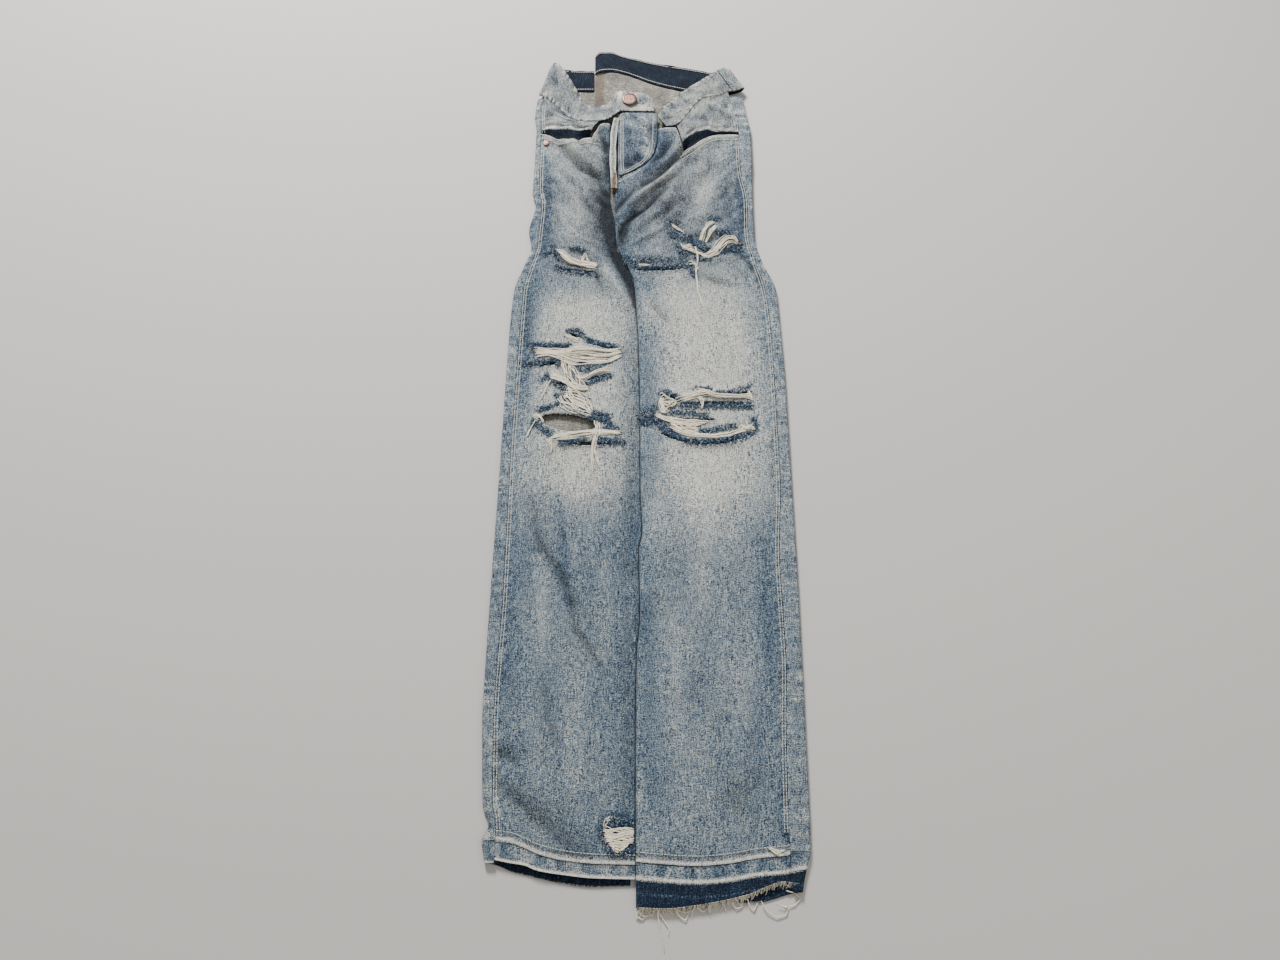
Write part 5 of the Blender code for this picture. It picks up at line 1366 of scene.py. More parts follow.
def make_facing(leg, band, mouth, ends, finishes):
    """A pocket facing, from the waistband to the mouth and under the lip."""
    front = sorted((row[0], row[1], row[2]) for row in band if row[2] > 8.4)
    low_y, high_y = read(mouth, ends[0], 1), read(front, ends[1], 1)

    def solve(t, rule):
        y = YOKE_SEAM
        x = wanted = z = 0.0
        for _ in range(9):
            seam = leg.at(max(y, YOKE_SEAM))[1] - leg.outward * 0.6
            end = ends[0] + (ends[1] - ends[0]) * clamp((y - low_y) / (high_y - low_y), 0.0, 1.0)
            x = seam + (end - seam) * t
            wanted, z = rule(x)
            y += (wanted - y) * SETTLING
        return Vector((x, wanted, z))

    def rule_at(s):
        """s from 0 at the waistband to 1 at the upper lip and 2 deep inside."""
        def rule(x):
            high = (read(front, x, 1) - 0.4, read(front, x, 2) + 0.4)
            roll_y = max(read(mouth, x, 2) + 2.0, read(mouth, x, 1) + 6.0)
            roll = (roll_y, leg.top(x, roll_y) + 0.8)
            lip = read(mouth, x, 1)
            deep = (lip - 6.0, leg.top(x, lip - 6.0) - 4.2)
            if s <= 1.0:
                z = high[1] + (roll[1] - high[1]) * s + 1.8 * math.sin(math.pi * s)
                z += 1.2 * ridge(x + s * 30, s * 50, 19.0, 7.0)
                return high[0] + (roll[0] - high[0]) * s, z
            q = s - 1.0
            fall = ease(q, 0.0, 0.55)
            return roll[0] + (deep[0] - roll[0]) * q, roll[1] + (deep[1] - roll[1]) * fall
        return rule

    wide, tall_out, tall_in = 60, 34, 16
    shares = [k / tall_out for k in range(tall_out)]
    shares += [1.0 + k / tall_in for k in range(tall_in + 1)]
    rules = [rule_at(s) for s in shares]

    def wear_and_shade(x, y, i, j):
        s = shares[j]
        # Deep in the pocket: navy, and darker further in as painted shade.
        if s > 1.08:
            return worn(0.08, 0.0, 0.3 + 0.4 * ease(s, 1.1, 1.6))
        rim = hump(s - 1.0, 0.06)
        # The ridges that rule_at raises are painted lighter: a painted highlight.
        fade = 0.38 + 0.10 * ridge(x + s * 30, s * 50, 19.0, 7.0)
        fade += 0.30 * shake(x + y * 0.4, y, 13.0, 1.0)
        fade += 0.08 * shake(x, y, 6.0, 5.0) + 0.10 * hump(s - 0.80, 0.07)
        # Painted shade next to the waistband, darker patches, and a darker line just before the
        # lip's roll.
        dark = 0.35 * ease(s, 0.12, 0.0) + 0.35 * max(0.0, shake(x - y * 0.6, y, 17.0, 8.0))
        dark += 0.35 * hump(s - 0.9, 0.03)
        bare = (0.9 if leg is RIGHT else 0.4) * rim * (0.8 + 0.9 * shake(x, y, 5.0))
        return worn(fade, 0.75, dark, bare)

    bm = grid(wide, len(shares) - 1, lambda i, j: solve(i / wide, rules[j]), wear_and_shade)
    node = "pocket_facing_" + leg.name
    return add_piece("denim_" + node, bm, finishes, node)


def fly_height(x, y):
    """The upper surface of the button stand."""
    z = STAND_HEIGHT + 0.8 * math.sin((x + 36) / 55 * math.pi)
    for bump_x, bump_y in BUMPS:
        near = math.hypot(x - bump_x, y - bump_y) / BUMP_RADIUS
        z += BUMP_HEIGHT * math.exp(-near * near * 1.6)
    return z + 0.35 * shake(x, y, 11.0, 6.0)


def make_stand(finishes):
    """The button stand, with worn rings where its buttons sit."""
    wide, tall = 40, 74

    def place(i, j):
        level = STAND_FOOT + (STAND_HEAD - STAND_FOOT) * j / tall
        right = read(STAND_EDGE, level, 1) - SEAM_GAP - LAYER_CLEAR
        x = STAND_INNER + (right - STAND_INNER) * i / wide
        y = level - 5.0 * (j / tall) ** 4 * (1.0 - ease(x, -36.0, -28.0))
        return Vector((x, y, fly_height(x, y) - 0.6 * (i / wide) ** 12))

    def wear_and_shade(x, y, i, j):
        ring = 0.0
        for bump_x, bump_y in BUMPS:
            away = math.hypot(x - bump_x, y - bump_y)
            half = 0.5 + 0.5 * math.sin(math.atan2(y - bump_y, x - bump_x) + 1.2)
            ring += half * hump(away - 6.5, 1.6) + 0.4 * hump(away, 3.0)
        fade = 0.33 + 0.30 * shake(x, y, 15.0) + 0.10 * shake(x, y, 6.0, 2.0) + 0.18 * ring
        fade += 0.14 * ease(y, 400, 425) - 0.20 * spot(x, y, -14.0, 354.0, 12.0, 10.0)
        dark = 0.45 * spot(x, y, -22.0, 347.0, 10.0, 8.0) + 0.6 * ease(x, 14.0, 19.0)
        dark += 0.5 * spot(x, y, 10.0, 396.0, 4.0, 24.0)
        dark += 0.35 * max(0.0, shake(x - y * 0.5, y, 18.0, 3.0))
        return worn(fade, 0.25, dark, 0.15 * ring)

    bm = grid(wide, tall, place, wear_and_shade)
    add_rim(bm)
    return add_piece("denim_fly_stand", bm, finishes, "fly_stand")


def make_hem(leg, side, finishes):
    """One layer of a hem, below the hem seam."""
    column = 2 if side == "front" else 3
    tall = 26
    levels = []
    for k in range(tall + 1):
        def line(x, share=1.0 - k / tall):
            seam = read(leg.hem, x, 1) - SEAM_GAP
            return seam + (read(leg.hem, x, column) - seam) * share
        levels.append(line)

    def wear_and_shade(x, y, i, j):
        down = read(leg.hem, x, 1) - y
        left = y - read(leg.hem, x, column)
        rope = math.sin(x / 4.0 + 4.0 * shake(x, y, 22.0))
        if leg is RIGHT and (side == "front" or i > 64):
            fade = 0.50 + 0.12 * rope + 0.10 * shake(x, y, 8.0)
            bare = 0.75 * hump(left - 1.2, 1.8)
            # A dark line just below the hem seam, under the panel's raised edge: painted shadow.
            return worn(fade, 0.10, 0.7 * hump(down, 1.6), bare)
        if leg is RIGHT:
            return worn(0.10, 0.0, 0.2, 0.35 * hump(left, 0.8))
        fold = hump(down - 14.0, 1.7) * (0.75 + 0.5 * shake(x, y, 3.0))
        mark = hump(down - 28.0, 0.8) * (0.5 + 0.5 * math.sin(x * 1.6))
        faded = 1.0 - ease(down, 13.0, 16.0)
        fade = 0.08 + faded * (0.40 + 0.12 * rope) + 0.35 * mark + 0.04 * shake(x, y, 10.0)
        bare = fold + 0.3 * hump(left, 1.0)
        # The same painted shadow line just below the hem seam.
        return worn(fade, 0.0, 0.7 * hump(down, 1.4), bare)

    if side == "front":
        wide, turn = 100, 6

        def place(i, j):
            t = min(i / wide, 1.0)
            y = toward(leg, HEM_BASE, levels[j], 1.0)(t)
            start = leg.at(y)[1] - leg.outward * SEAM_GAP
            centre = leg.inner_turn(y)
            if i <= wide:
                x = start + (centre - start) * t
                wave = 0.5 * shake(x, y, 18.0, 8.0)
                return Vector((x, y, leg.top(x, y) - 0.25 + wave * (1.0 - j / tall)))
            return turned_under(leg, y, leg.top(centre, y), (i - wide) / turn)

        bm = grid(wide + turn, tall, place, wear_and_shade)
        add_rim(bm)
    else:
        flat, turn, top = 60, 8, 3

        def place(i, j):
            t = clamp(1.0 - i / flat, 0.0, 1.0)
            y = levels[j](leg.hem_x(t))
            seam, flat_end = leg.at(y)[1], leg.flat_end(y)
            start = leg.inner(y) + leg.outward * (EDGE_FOLD + DENIM + SEAM_GAP)
            if i < flat:
                return Vector((start + (flat_end - start) * (1.0 - t), y, DENIM))
            high = leg.top(seam, y)
            if i <= flat + turn:
                angle = math.pi / 2 * (2 * (i - flat) / turn - 1)
                x = flat_end + leg.outward * EDGE_FOLD * math.cos(angle)
                return Vector((x, y, high / 2 + high / 2 * math.sin(angle) + 0.05))
            t = (i - flat - turn) / top
            return Vector((flat_end + (seam - flat_end) * t, y, high))

        bm = grid(flat + turn + top, tall, place, wear_and_shade)
        add_rim(bm, 1.0)
    node = f"hem_{leg.name}_{side}"
    return add_piece("denim_" + node, bm, finishes, node)


def link_piece(name, mesh, node):
    """The object of a mesh, which rides on the part and stands for a node."""
    piece = bpy.data.objects.new(name, mesh)
    bpy.context.collection.objects.link(piece)
    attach(piece, "root")
    if node:
        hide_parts(node)
    return piece


def yarn_object(name, paths, finish, node=None):
    """Many thin yarns as one mesh: each path is a radius and its points."""
    curve = bpy.data.curves.new(name, "CURVE")
    curve.dimensions = "3D"
    curve.bevel_depth = MM
    curve.bevel_resolution = 0
    curve.use_fill_caps = True
    for radius, points in paths:
        spline = curve.splines.new("POLY")
        spline.points.add(len(points) - 1)
        last = len(points) - 1
        for k, point in enumerate(points):
            place = (Vector(point) + SHIFT) * MM
            spline.points[k].co = (*place, 1.0)
            lump = 1.0 + 0.5 * shake(point[0], point[1], 3.0, radius * 50)
            spline.points[k].radius = radius * (0.55 if k in (0, last) else lump)
    shape = bpy.data.objects.new(name + "_lines", curve)
    bpy.context.collection.objects.link(shape)
    depsgraph = bpy.context.evaluated_depsgraph_get()
    mesh = bpy.data.meshes.new_from_object(shape.evaluated_get(depsgraph))
    bpy.data.objects.remove(shape)
    bpy.data.curves.remove(curve)
    mesh.name = name
    mesh.materials.clear()
    mesh.materials.append(finish)
    return link_piece(name, mesh, node)


def surface(leg, x, y):
    """The height of the cloth at a place, on whichever leg is on top."""
    if leg is RIGHT and x > LEFT.inner(y) and y < CROTCH:
        return LEFT.fine(x, y)
    if leg is LEFT and x < LEFT.inner(y):
        return RIGHT.fine(x, y)
    return leg.fine(x, y)


# A bundle of at least so many yarns is thinned to this share of them
FEW_YARNS = 6
YARN_SHARE = 0.62


def bundle(draw, leg, rows):
    """Paths of the bared yarns of a leg."""
    paths = []
    steps = 16
    for full, off, loose, first, second in rows:
        count = full if full < FEW_YARNS else round(full * YARN_SHARE)
        for k in range(count):
            across = (k + draw.uniform(0.1, 0.9)) / count
            start, stop = draw.uniform(-0.02, 0.05), draw.uniform(0.95, 1.03)
            lift = 1.25 * off * draw.uniform(0.2, 1.2)
            phase = draw.uniform(0, 6.3)
            swing = 1.7 * loose * draw.uniform(0.2, 1.0)
            points = []
            for m in range(steps + 1):
                t = clamp(start + (stop - start) * m / steps, 0.0, 1.0)
                x1, y1 = along_line(first, t)
                x2, y2 = along_line(second, t)
                mix = clamp(across + 0.16 * math.sin(5.0 * t + phase), -0.08, 1.08)
                x = x1 + (x2 - x1) * mix + swing * 0.6 * shake(t * 40 + k * 7, phase, 6.0)
                y = y1 + (y2 - y1) * mix + swing * shake(t * 40 + k * 7, phase + 9, 6.0)
                z = surface(leg, x, y) + 0.25 + lift * (0.35 + 0.65 * math.sin(math.pi * t))
                z += 0.5 * abs(shake(t * 30, k + phase, 5.0))
                points.append((x, y, z))
            paths.append((draw.uniform(0.42, 0.72), points))
    return paths


# How many frayed ends are made for each one in the tables
FRAY_SHARE = 2.5


def frays(draw, leg, rows):
    """Paths of the frayed ends along the rips, dark ones and pale ones."""
    dark, pale = [], []
    for count, length, scatter, blue, line in rows:
        for _ in range(round(count * FRAY_SHARE)):
            x, y = along_line(line, draw.random())
            x += draw.gauss(0.0, scatter * 0.6)
            y += draw.gauss(0.0, scatter * 0.75)
            turn = draw.choice((-1, 1)) * math.pi / 2 + draw.gauss(0.0, 0.75)
            reach = length * draw.uniform(0.3, 0.9)
            bend = draw.gauss(0.0, 1.5)
            points = []
            z = surface(leg, x, y) - 0.2
            lift = draw.uniform(0.4, 2.1)
            for m in range(4):
                t = m / 3
                points.append((x, y, z + lift * math.sin(math.pi * (0.15 + 0.6 * t))))
                x += math.cos(turn + bend * t) * reach / 3
                y += math.sin(turn + bend * t) * reach / 3
            target = dark if draw.random() < blue * 0.84 else pale
            target.append((draw.uniform(0.24, 0.46), points))
    return dark, pale


def top_of(*names):
    """A function for the height of some finished pieces at a place."""
    bpy.context.view_layer.update()
    shown = [bpy.data.objects[name] for name in names]

    def height(x, y):
        start = (Vector((x, y, 60.0)) + SHIFT) * MM
        hits = [each.ray_cast(start, (0.0, 0.0, -1.0)) for each in shown]
        return max([place.z / MM for hit, place, _, _ in hits if hit], default=0.0)
    return height


def strap_line(stations, t, side):
    """A line along a strap, on one of its two sides."""
    off = side * (DOUBLED / 2 + 0.12)
    frames = strap_frames(strap_rows(stations, 2 * STRAP_SPACING))
    return [tuple(low.lerp(up, t) + normal * off) for low, up, normal in frames]


def stitch_row(bm, points, heights, pitch, width=0.75, tall=0.55, fill=0.72, facing=1.0):
    """Short raised stitches along a line, on the cloth."""
    total = sum(math.dist(a, b) for a, b in zip(points, points[1:]))
    count = int(total / pitch)
    for k in range(count):
        one = Vector(along_line(points, (k + 0.14) / count))
        two = Vector(along_line(points, (k + 0.14 + fill) / count))
        if heights:
            one, two = (Vector((each.x, each.y, heights(each.x, each.y))) for each in (one, two))
        along = (two - one).normalized()
        side = along.cross(Vector((0, 0, 1))).normalized()
        turn = Matrix((along, side, side.cross(along))).transposed()
        length = (two - one).length
        middle = (one + two) / 2 + Vector((0, 0, 0.12 * facing))
        matrix = Matrix.Translation(middle * MM) @ turn.to_4x4()
        matrix = matrix @ Matrix.Diagonal((length * MM, width * MM, tall * MM, 1.0))
        bmesh.ops.create_cube(bm, size=1.0, matrix=matrix)


# The darkest shade in a fold, and the height of a yarn's relief in metres
FOLD_SHADE = "#10161f"
YARN_RELIEF = 0.0006

# The most that a faded level reaches, at the end of the denim's colours
LEVEL_END = 1.4
DENIM_RAMP = (
    # share of the level's range, colour
    (0, '#0d1522'), (0.086, '#1a283c'), (0.186, '#344659'), (0.3, '#566879'), (0.414, '#76858f'),
    (0.543, '#9ba2a1'), (0.714, '#c9c8c0'), (1, '#f4f2ea'),
)
REVERSE_RAMP = (
    # place, colour
    (0.20, "#39424d"), (0.45, "#62625f"), (0.70, "#8f8b80"), (0.95, "#cfcbbf"),
)
# Grains of each noise for one metre along x, y and z
WARP_GRAINS = (1150.0, 110.0, 900.0)
WEFT_GRAINS = (220.0, 1200.0, 400.0)
FINE_GRAINS = (900.0, 900.0, 900.0)
CLOUD_GRAINS = (45.0, 22.0, 45.0)


def linear(code):
    """A colour written as sRGB hex, as linear red, green, blue and alpha."""
    values = [int(code[k:k + 2], 16) / 255 for k in (1, 3, 5)]
    return (*(v / 12.92 if v <= 0.04045 else ((v + 0.055) / 1.055) ** 2.4 for v in values), 1.0)


def set_inputs(tree, node, values):
    """Links a node's sockets to outputs and sets the others to constants."""
    for key, value in values.items():
        if isinstance(value, bpy.types.NodeSocket):
            tree.links.new(value, node.inputs[key])
        else:
            node.inputs[key].default_value = value


def add_node(tree, kind, inputs=None, **settings):
    """A node with its settings, its constants and its links."""
    node = tree.nodes.new(kind)
    for key, value in settings.items():
        setattr(node, key, value)
    set_inputs(tree, node, inputs or {})
    return node


def math_node(tree, operation, one, two, clamped=False):
    node = add_node(tree, "ShaderNodeMath", {0: one, 1: two}, operation=operation)
    node.use_clamp = clamped
    return node.outputs[0]


def centred(tree, value, middle, factor, clamped=False):
    """How far a value is above a middle, times a factor."""
    return math_node(tree, "MULTIPLY", math_node(tree, "SUBTRACT", value, middle), factor, clamped)


def mix_node(tree, factor, one, two, blend="MIX"):
    node = add_node(tree, "ShaderNodeMix", data_type="RGBA", blend_type=blend)
    set_inputs(tree, node, {0: factor, 6: one, 7: two})
    return node.outputs[2]


def ramp_node(tree, factor, stops):
    node = add_node(tree, "ShaderNodeValToRGB", {0: factor})
    elements = node.color_ramp.elements
    while len(elements) < len(stops):
        elements.new(0.5)
    for element, (place, colour) in zip(elements, stops):
        element.position = place
        element.color = linear(colour) if isinstance(colour, str) else colour
    return node.outputs[0]


def new_material(name, values):
    """A material with its tree and its shader, on which some constants are set."""
    made = bpy.data.materials.new(name)
    made.use_nodes = True
    tree, shader = made.node_tree, made.node_tree.nodes["Principled BSDF"]
    set_inputs(tree, shader, values)
    return made, tree, shader


def object_place(tree):
    """The place on the piece itself, in metres."""
    return add_node(tree, "ShaderNodeTexCoord").outputs["Object"]


def stretched_noise(tree, place, scale, detail=2.0):
    """Noise whose grains have their own size along each axis, given per metre."""
    scaled = add_node(tree, "ShaderNodeVectorMath", {0: place, 1: scale}, operation="MULTIPLY")
    inputs = {"Vector": scaled.outputs[0], "Scale": 1.0, "Detail": detail}
    return add_node(tree, "ShaderNodeTexNoise", inputs).outputs[0]


def mesh_wear_and_shade(tree):
    """Fade, beige, painted shade and bared yarn, as they are stored on the mesh."""
    wear_and_shade = add_node(tree, "ShaderNodeAttribute", attribute_name="wear_and_shade")
    parts = add_node(tree, "ShaderNodeSeparateColor", {0: wear_and_shade.outputs["Color"]})
    return (*parts.outputs, wear_and_shade.outputs["Alpha"])


def cloth_surface(tree, shader, colour, dark, depth, height, strength):
    """The cloth's colour, darkened by its painted shade as in its folds, and the relief of its
    yarns.
    """
    shade = math_node(tree, "SUBTRACT", 1.0, math_node(tree, "MULTIPLY", dark, depth, True), True)
    tone = mix_node(tree, shade, linear(FOLD_SHADE), (1, 1, 1, 1))
    relief = {"Strength": strength, "Distance": YARN_RELIEF, "Height": height}
    bump = add_node(tree, "ShaderNodeBump", relief)
    set_inputs(tree, shader, {
        "Base Color": mix_node(tree, 1.0, colour, tone, "MULTIPLY"), "Normal": bump.outputs[0]})


def make_denim(settings, fixed=None):
    """Indigo denim: warp slubs run along the leg, and fade, beige, painted shade and
    bared yarn come from the mesh.

    fixed gives one fade for pieces that have none of these of their own."""
    name = "denim_worn_and_shaded" if fixed is None else f"denim_plain_{round(fixed * 100)}"
    made, tree, shader = new_material(
        name, {"Roughness": 0.93, "Specular IOR Level": 0.15, "Sheen Weight": 0.08})
    place = object_place(tree)
    warp = stretched_noise(tree, place, WARP_GRAINS)
    weft = stretched_noise(tree, place, WEFT_GRAINS)
    grain = stretched_noise(tree, place, FINE_GRAINS, 3.0)
    cloud = stretched_noise(tree, place, CLOUD_GRAINS)
    fade, warm, dark, bare = mesh_wear_and_shade(tree) if fixed is None else (fixed, 0.1, 0.1, 0.0)
    grains = 0.0
    for source, weight in ((warp, 0.85), (weft, 0.60), (grain, 1.85), (cloud, 0.08)):
        grains = math_node(tree, "ADD", grains, centred(tree, source, 0.5, weight))
    # Worn cloth shows its yarns more than dark cloth does
    curved = math_node(tree, "ADD", 0.95, math_node(tree, "MULTIPLY", fade, fade))
    gain = math_node(tree, "ADD", 0.55, math_node(tree, "MULTIPLY", fade, curved))
    level = math_node(tree, "ADD", fade, math_node(tree, "MULTIPLY", grains, gain))
    blue = ramp_node(tree, math_node(tree, "DIVIDE", level, LEVEL_END, True), DENIM_RAMP)
    tint = math_node(tree, "MULTIPLY", warm, math_node(tree, "MULTIPLY", level, 0.85), True)
    colour = mix_node(tree, tint, blue, linear(settings.beige_code))
    # Bared yarn shows in specks
    shown = math_node(tree, "ADD", bare, centred(tree, grain, 0.5, 1.6))
    some = math_node(tree, "GREATER_THAN", bare, 0.04)
    shown = math_node(tree, "MULTIPLY", shown, some, True)
    colour = mix_node(tree, shown, colour, tuple(settings.yarn))
    twill = add_node(tree, "ShaderNodeTexWave", {
        "Vector": place, "Scale": settings.twill_scale, "Distortion": 1.5},
        bands_direction="DIAGONAL").outputs[1]
    height = math_node(tree, "ADD", math_node(tree, "MULTIPLY", warp, 0.9),
                       math_node(tree, "MULTIPLY", grain, 0.9))
    height = math_node(tree, "ADD", height, math_node(tree, "MULTIPLY", twill, 0.35))
    cloth_surface(tree, shader, colour, dark, 0.86, height, 0.70)
    return made


def make_reverse():
    """The denim's reverse: undyed weft with specks of the blue warp."""
    made, tree, shader = new_material(
        "denim_reverse", {"Roughness": 0.95, "Specular IOR Level": 0.12})
    place = object_place(tree)
    fade, warm, dark, _ = mesh_wear_and_shade(tree)
    grain = stretched_noise(tree, place, (700.0, 420.0, 600.0), 3.0)
    weft = stretched_noise(tree, place, (150.0, 900.0, 400.0))
    level = math_node(tree, "MULTIPLY", grain, 0.9)
    level = math_node(tree, "ADD", level, math_node(tree, "MULTIPLY", weft, 0.5))
    lighter = centred(tree, fade, 0.5, 0.9)
    level = math_node(tree, "SUBTRACT", math_node(tree, "ADD", level, lighter), 0.2)
    brown = centred(tree, warm, 0.3, 0.9, True)
    colour = mix_node(tree, brown, ramp_node(tree, level, REVERSE_RAMP), linear("#7b6853"))
    cloth_surface(tree, shader, colour, dark, 0.8, grain, 0.5)
    return made


def mottled(name, scale, stops, values):
    """A finish whose tone changes a little from place to place."""
    made, tree, shader = new_material(name, values)
    tone = stretched_noise(tree, object_place(tree), (scale, scale, scale), 3.0)
    set_inputs(tree, shader, {"Base Color": ramp_node(tree, tone, stops)})
    return made


def make_yarn(name, low, high):
    """Cotton yarn."""
    values = {"Roughness": 0.9, "Specular IOR Level": 0.15}
    return mottled(name, 420.0, ((0.30, low), (0.68, high)), values)


def make_copper(settings):
    """Worn copper plating on the button and the rivet."""
    stops = ((0.35, tuple(settings.copper)), (0.70, "#8f7264"))
    return mottled("copper_worn", 500.0, stops, {"Metallic": 0.75, "Roughness": 0.45})


def make_paper():
    """Matt paper, for the floor."""
    values = {"Base Color": linear("#c9c6c1"), "Roughness": 0.9, "Specular IOR Level": 0.2}
    return new_material("floor_paper", values)[0]


FINISHES = {}


def finish(name):
    """A finish by its name, made once from the settings."""
    settings = bpy.context.scene.jeans_looks
    makers = {
        "denim": lambda: make_denim(settings),
        "plain": lambda: make_denim(settings, 0.40),
        "loop": lambda: make_denim(settings, 0.62),
        "reverse": make_reverse,
        "cotton": lambda: make_yarn("cotton_weft", "#e0d2b6", tuple(settings.yarn)),
        "indigo": lambda: make_yarn("indigo_warp", "#101c30", "#4a6682"),
        "paleblue": lambda: make_yarn("faded_warp", "#66798a", "#b4bbb8"),
        "thread": lambda: make_yarn("stitch_thread", "#b4b5ae", "#e6e3d6"),
        "tack": lambda: make_yarn("bartack_thread", "#5f4330", "#94714f"),
        "copper": lambda: make_copper(settings),
    }
    if name not in FINISHES:
        FINISHES[name] = makers[name]()
    return FINISHES[name]


class JeansLooks(bpy.types.PropertyGroup):
    """Sizes and colours that a user may change."""
    beige_code: bpy.props.StringProperty(
        name="Beige", description="Tone of the most faded denim, as sRGB hex",
        default="#bcb6a4")
    yarn: bpy.props.FloatVectorProperty(
        name="Weft yarn", description="Colour of the bared cotton yarns",
        default=linear("#fff9ea"), size=4, min=0.0, max=1.0, subtype="COLOR")
    copper: bpy.props.FloatVectorProperty(
        name="Copper", description="Colour of the button and the rivet",
        default=linear("#5a3f35"), size=4, min=0.0, max=1.0, subtype="COLOR")
    twill_scale: bpy.props.FloatProperty(
        name="Twill scale",
        description="Scale of the twill lines, where 480 is about 1.3 mm between lines",
        default=480.0, min=100.0, max=1200.0)
    stitch_width: bpy.props.FloatProperty(
        name="Stitch width", description="Width of the sewing thread in millimetres",
        default=0.65, min=0.2, max=1.5)
    camera_height: bpy.props.FloatProperty(
        name="Camera height", description="Height of the camera above the floor",
        default=1.0266, unit="LENGTH", subtype="DISTANCE")
    camera_tilt: bpy.props.FloatProperty(
        name="Camera tilt", description="Tilt of the camera from straight down",
        default=math.radians(22.0), subtype="ANGLE")
    lamp_power: bpy.props.FloatProperty(
        name="Lamp power", description="Power of the main soft lamp",
        default=9.0, min=0.0, unit="POWER")


# The seed of the yarns' draws
SEED = 7
# Ends of the raw hem's yarns: how many, the share of long ones, and the
# furthest that they reach
RAW_ENDS = 320
LONG_SHARE = 0.16
RAW_LIMIT = -556.0
# How far the outseam's two rows of stitches stand from it
OUTSEAM_INSETS = (1.6, 4.6)
# The bar tack at the foot of the fly
BARTACK = ((-38.0, 333.0), (-39.5, 302.0))
# Which finish the nodes get that keep their own shape, where it isn't plain
TRIM = {"waist_button": "copper", "rivet_right": "copper", "belt_loop_left_side": "loop"}

# The stage, in metres
FLOOR_HALF = 6.0
LAMPS = (
    # name, place, size, share of the power
    ('key', (-0.6, 1.9, 1.5), 0.6, 12.4), ('fill', (1.6, -0.4, 2), 1.8, 1.6),
)
SKY_COLOUR = (1.0, 0.99, 0.97, 1.0)
SKY_STRENGTH = 0.36
# The camera: focal length and sensor in millimetres, and its place over the floor
LENS = 27.03
SENSOR = 36.0
CAMERA_PLACE = (-0.005, -0.5096)


def raw_ends(draw):
    """Paths of the yarns that stick out of the left leg's raw hem."""
    paths = []
    for _ in range(RAW_ENDS):
        x = draw.uniform(FRINGE_START, FRINGE_END)
        y = read(LEFT_HEM, x, 2) + 1.0
        z = LEFT.top(x, y) - 0.6
        reach = draw.uniform(2.0, 6.0)
        if draw.random() < LONG_SHARE:
            reach += draw.uniform(0, 9.0)
        turn = -math.pi / 2 + draw.gauss(0.0, 0.5)
        bend = draw.gauss(0.0, 0.9)
        points = []
        for m in range(7):
            t = m / 6
            points.append((x, y, max(0.5, z * (1 - t) ** 1.5 + 0.6)))
            x += math.cos(turn + bend * t) * reach / 6
            y = max(y + math.sin(turn + bend * t) * reach / 6, RAW_LIMIT)
        paths.append((draw.uniform(0.28, 0.50), points))
    return paths


def outseam_lines(leg, ys):
    """The two lines of stitches beside a leg's outseam."""
    return [[(leg.at(y)[1] - leg.outward * inset, y) for y in ys] for inset in OUTSEAM_INSETS]


class JEANS_OT_fronts(bpy.types.Operator):
    """Make the two front panels with their rips"""
    bl_idname = "jeans.fronts"
    bl_label = "Fronts"

    def execute(self, context):
        right = make_front(RIGHT, [finish("denim")])
        left = make_front(LEFT, [finish("denim")])
        return {"FINISHED"}


class JEANS_OT_backs(bpy.types.Operator):
    """Make the two back panels, turned up round the outer edges"""
    bl_idname = "jeans.backs"
    bl_label = "Backs"

    def execute(self, context):
        for leg, area in ((RIGHT, 0.150), (LEFT, 0.165)):
            back = make_back(leg, [finish("denim"), finish("reverse")])
        return {"FINISHED"}


class JEANS_OT_yokes(bpy.types.Operator):
    """Make the two yokes, whose reverse shows in the open waist"""
    bl_idname = "jeans.yokes"
    bl_label = "Yokes"

    def execute(self, context):
        sizes = ((RIGHT, (0.12, 0.08), 0.0080), (LEFT, (0.22, 0.095), 0.0180))
        for leg, flat, area in sizes:
            yoke = make_yoke(leg, [finish("denim"), finish("reverse")])
        return {"FINISHED"}


class JEANS_OT_waistband(bpy.types.Operator):
    """Make the two halves of the waistband"""
    bl_idname = "jeans.waistband"
    bl_label = "Waistband"

    def execute(self, context):
        for name, stations, long in (("right", BAND_RIGHT, 0.245), ("left", BAND_LEFT, 0.305)):
            band = make_strap("denim_waistband_" + name, stations, [finish("denim")],
                              band_wear_and_shade, "waistband_" + name, ruffle=0.9)
        return {"FINISHED"}


class JEANS_OT_facings(bpy.types.Operator):
    """Make the facings behind the front pockets"""
    bl_idname = "jeans.facings"
    bl_label = "Pocket facings"

    def execute(self, context):
        right = make_facing(RIGHT, BAND_RIGHT, RIGHT_MOUTH, (-75, -60), [finish("denim")])
        left = make_facing(LEFT, BAND_LEFT, LEFT_MOUTH, (54, 44), [finish("denim")])
        return {"FINISHED"}


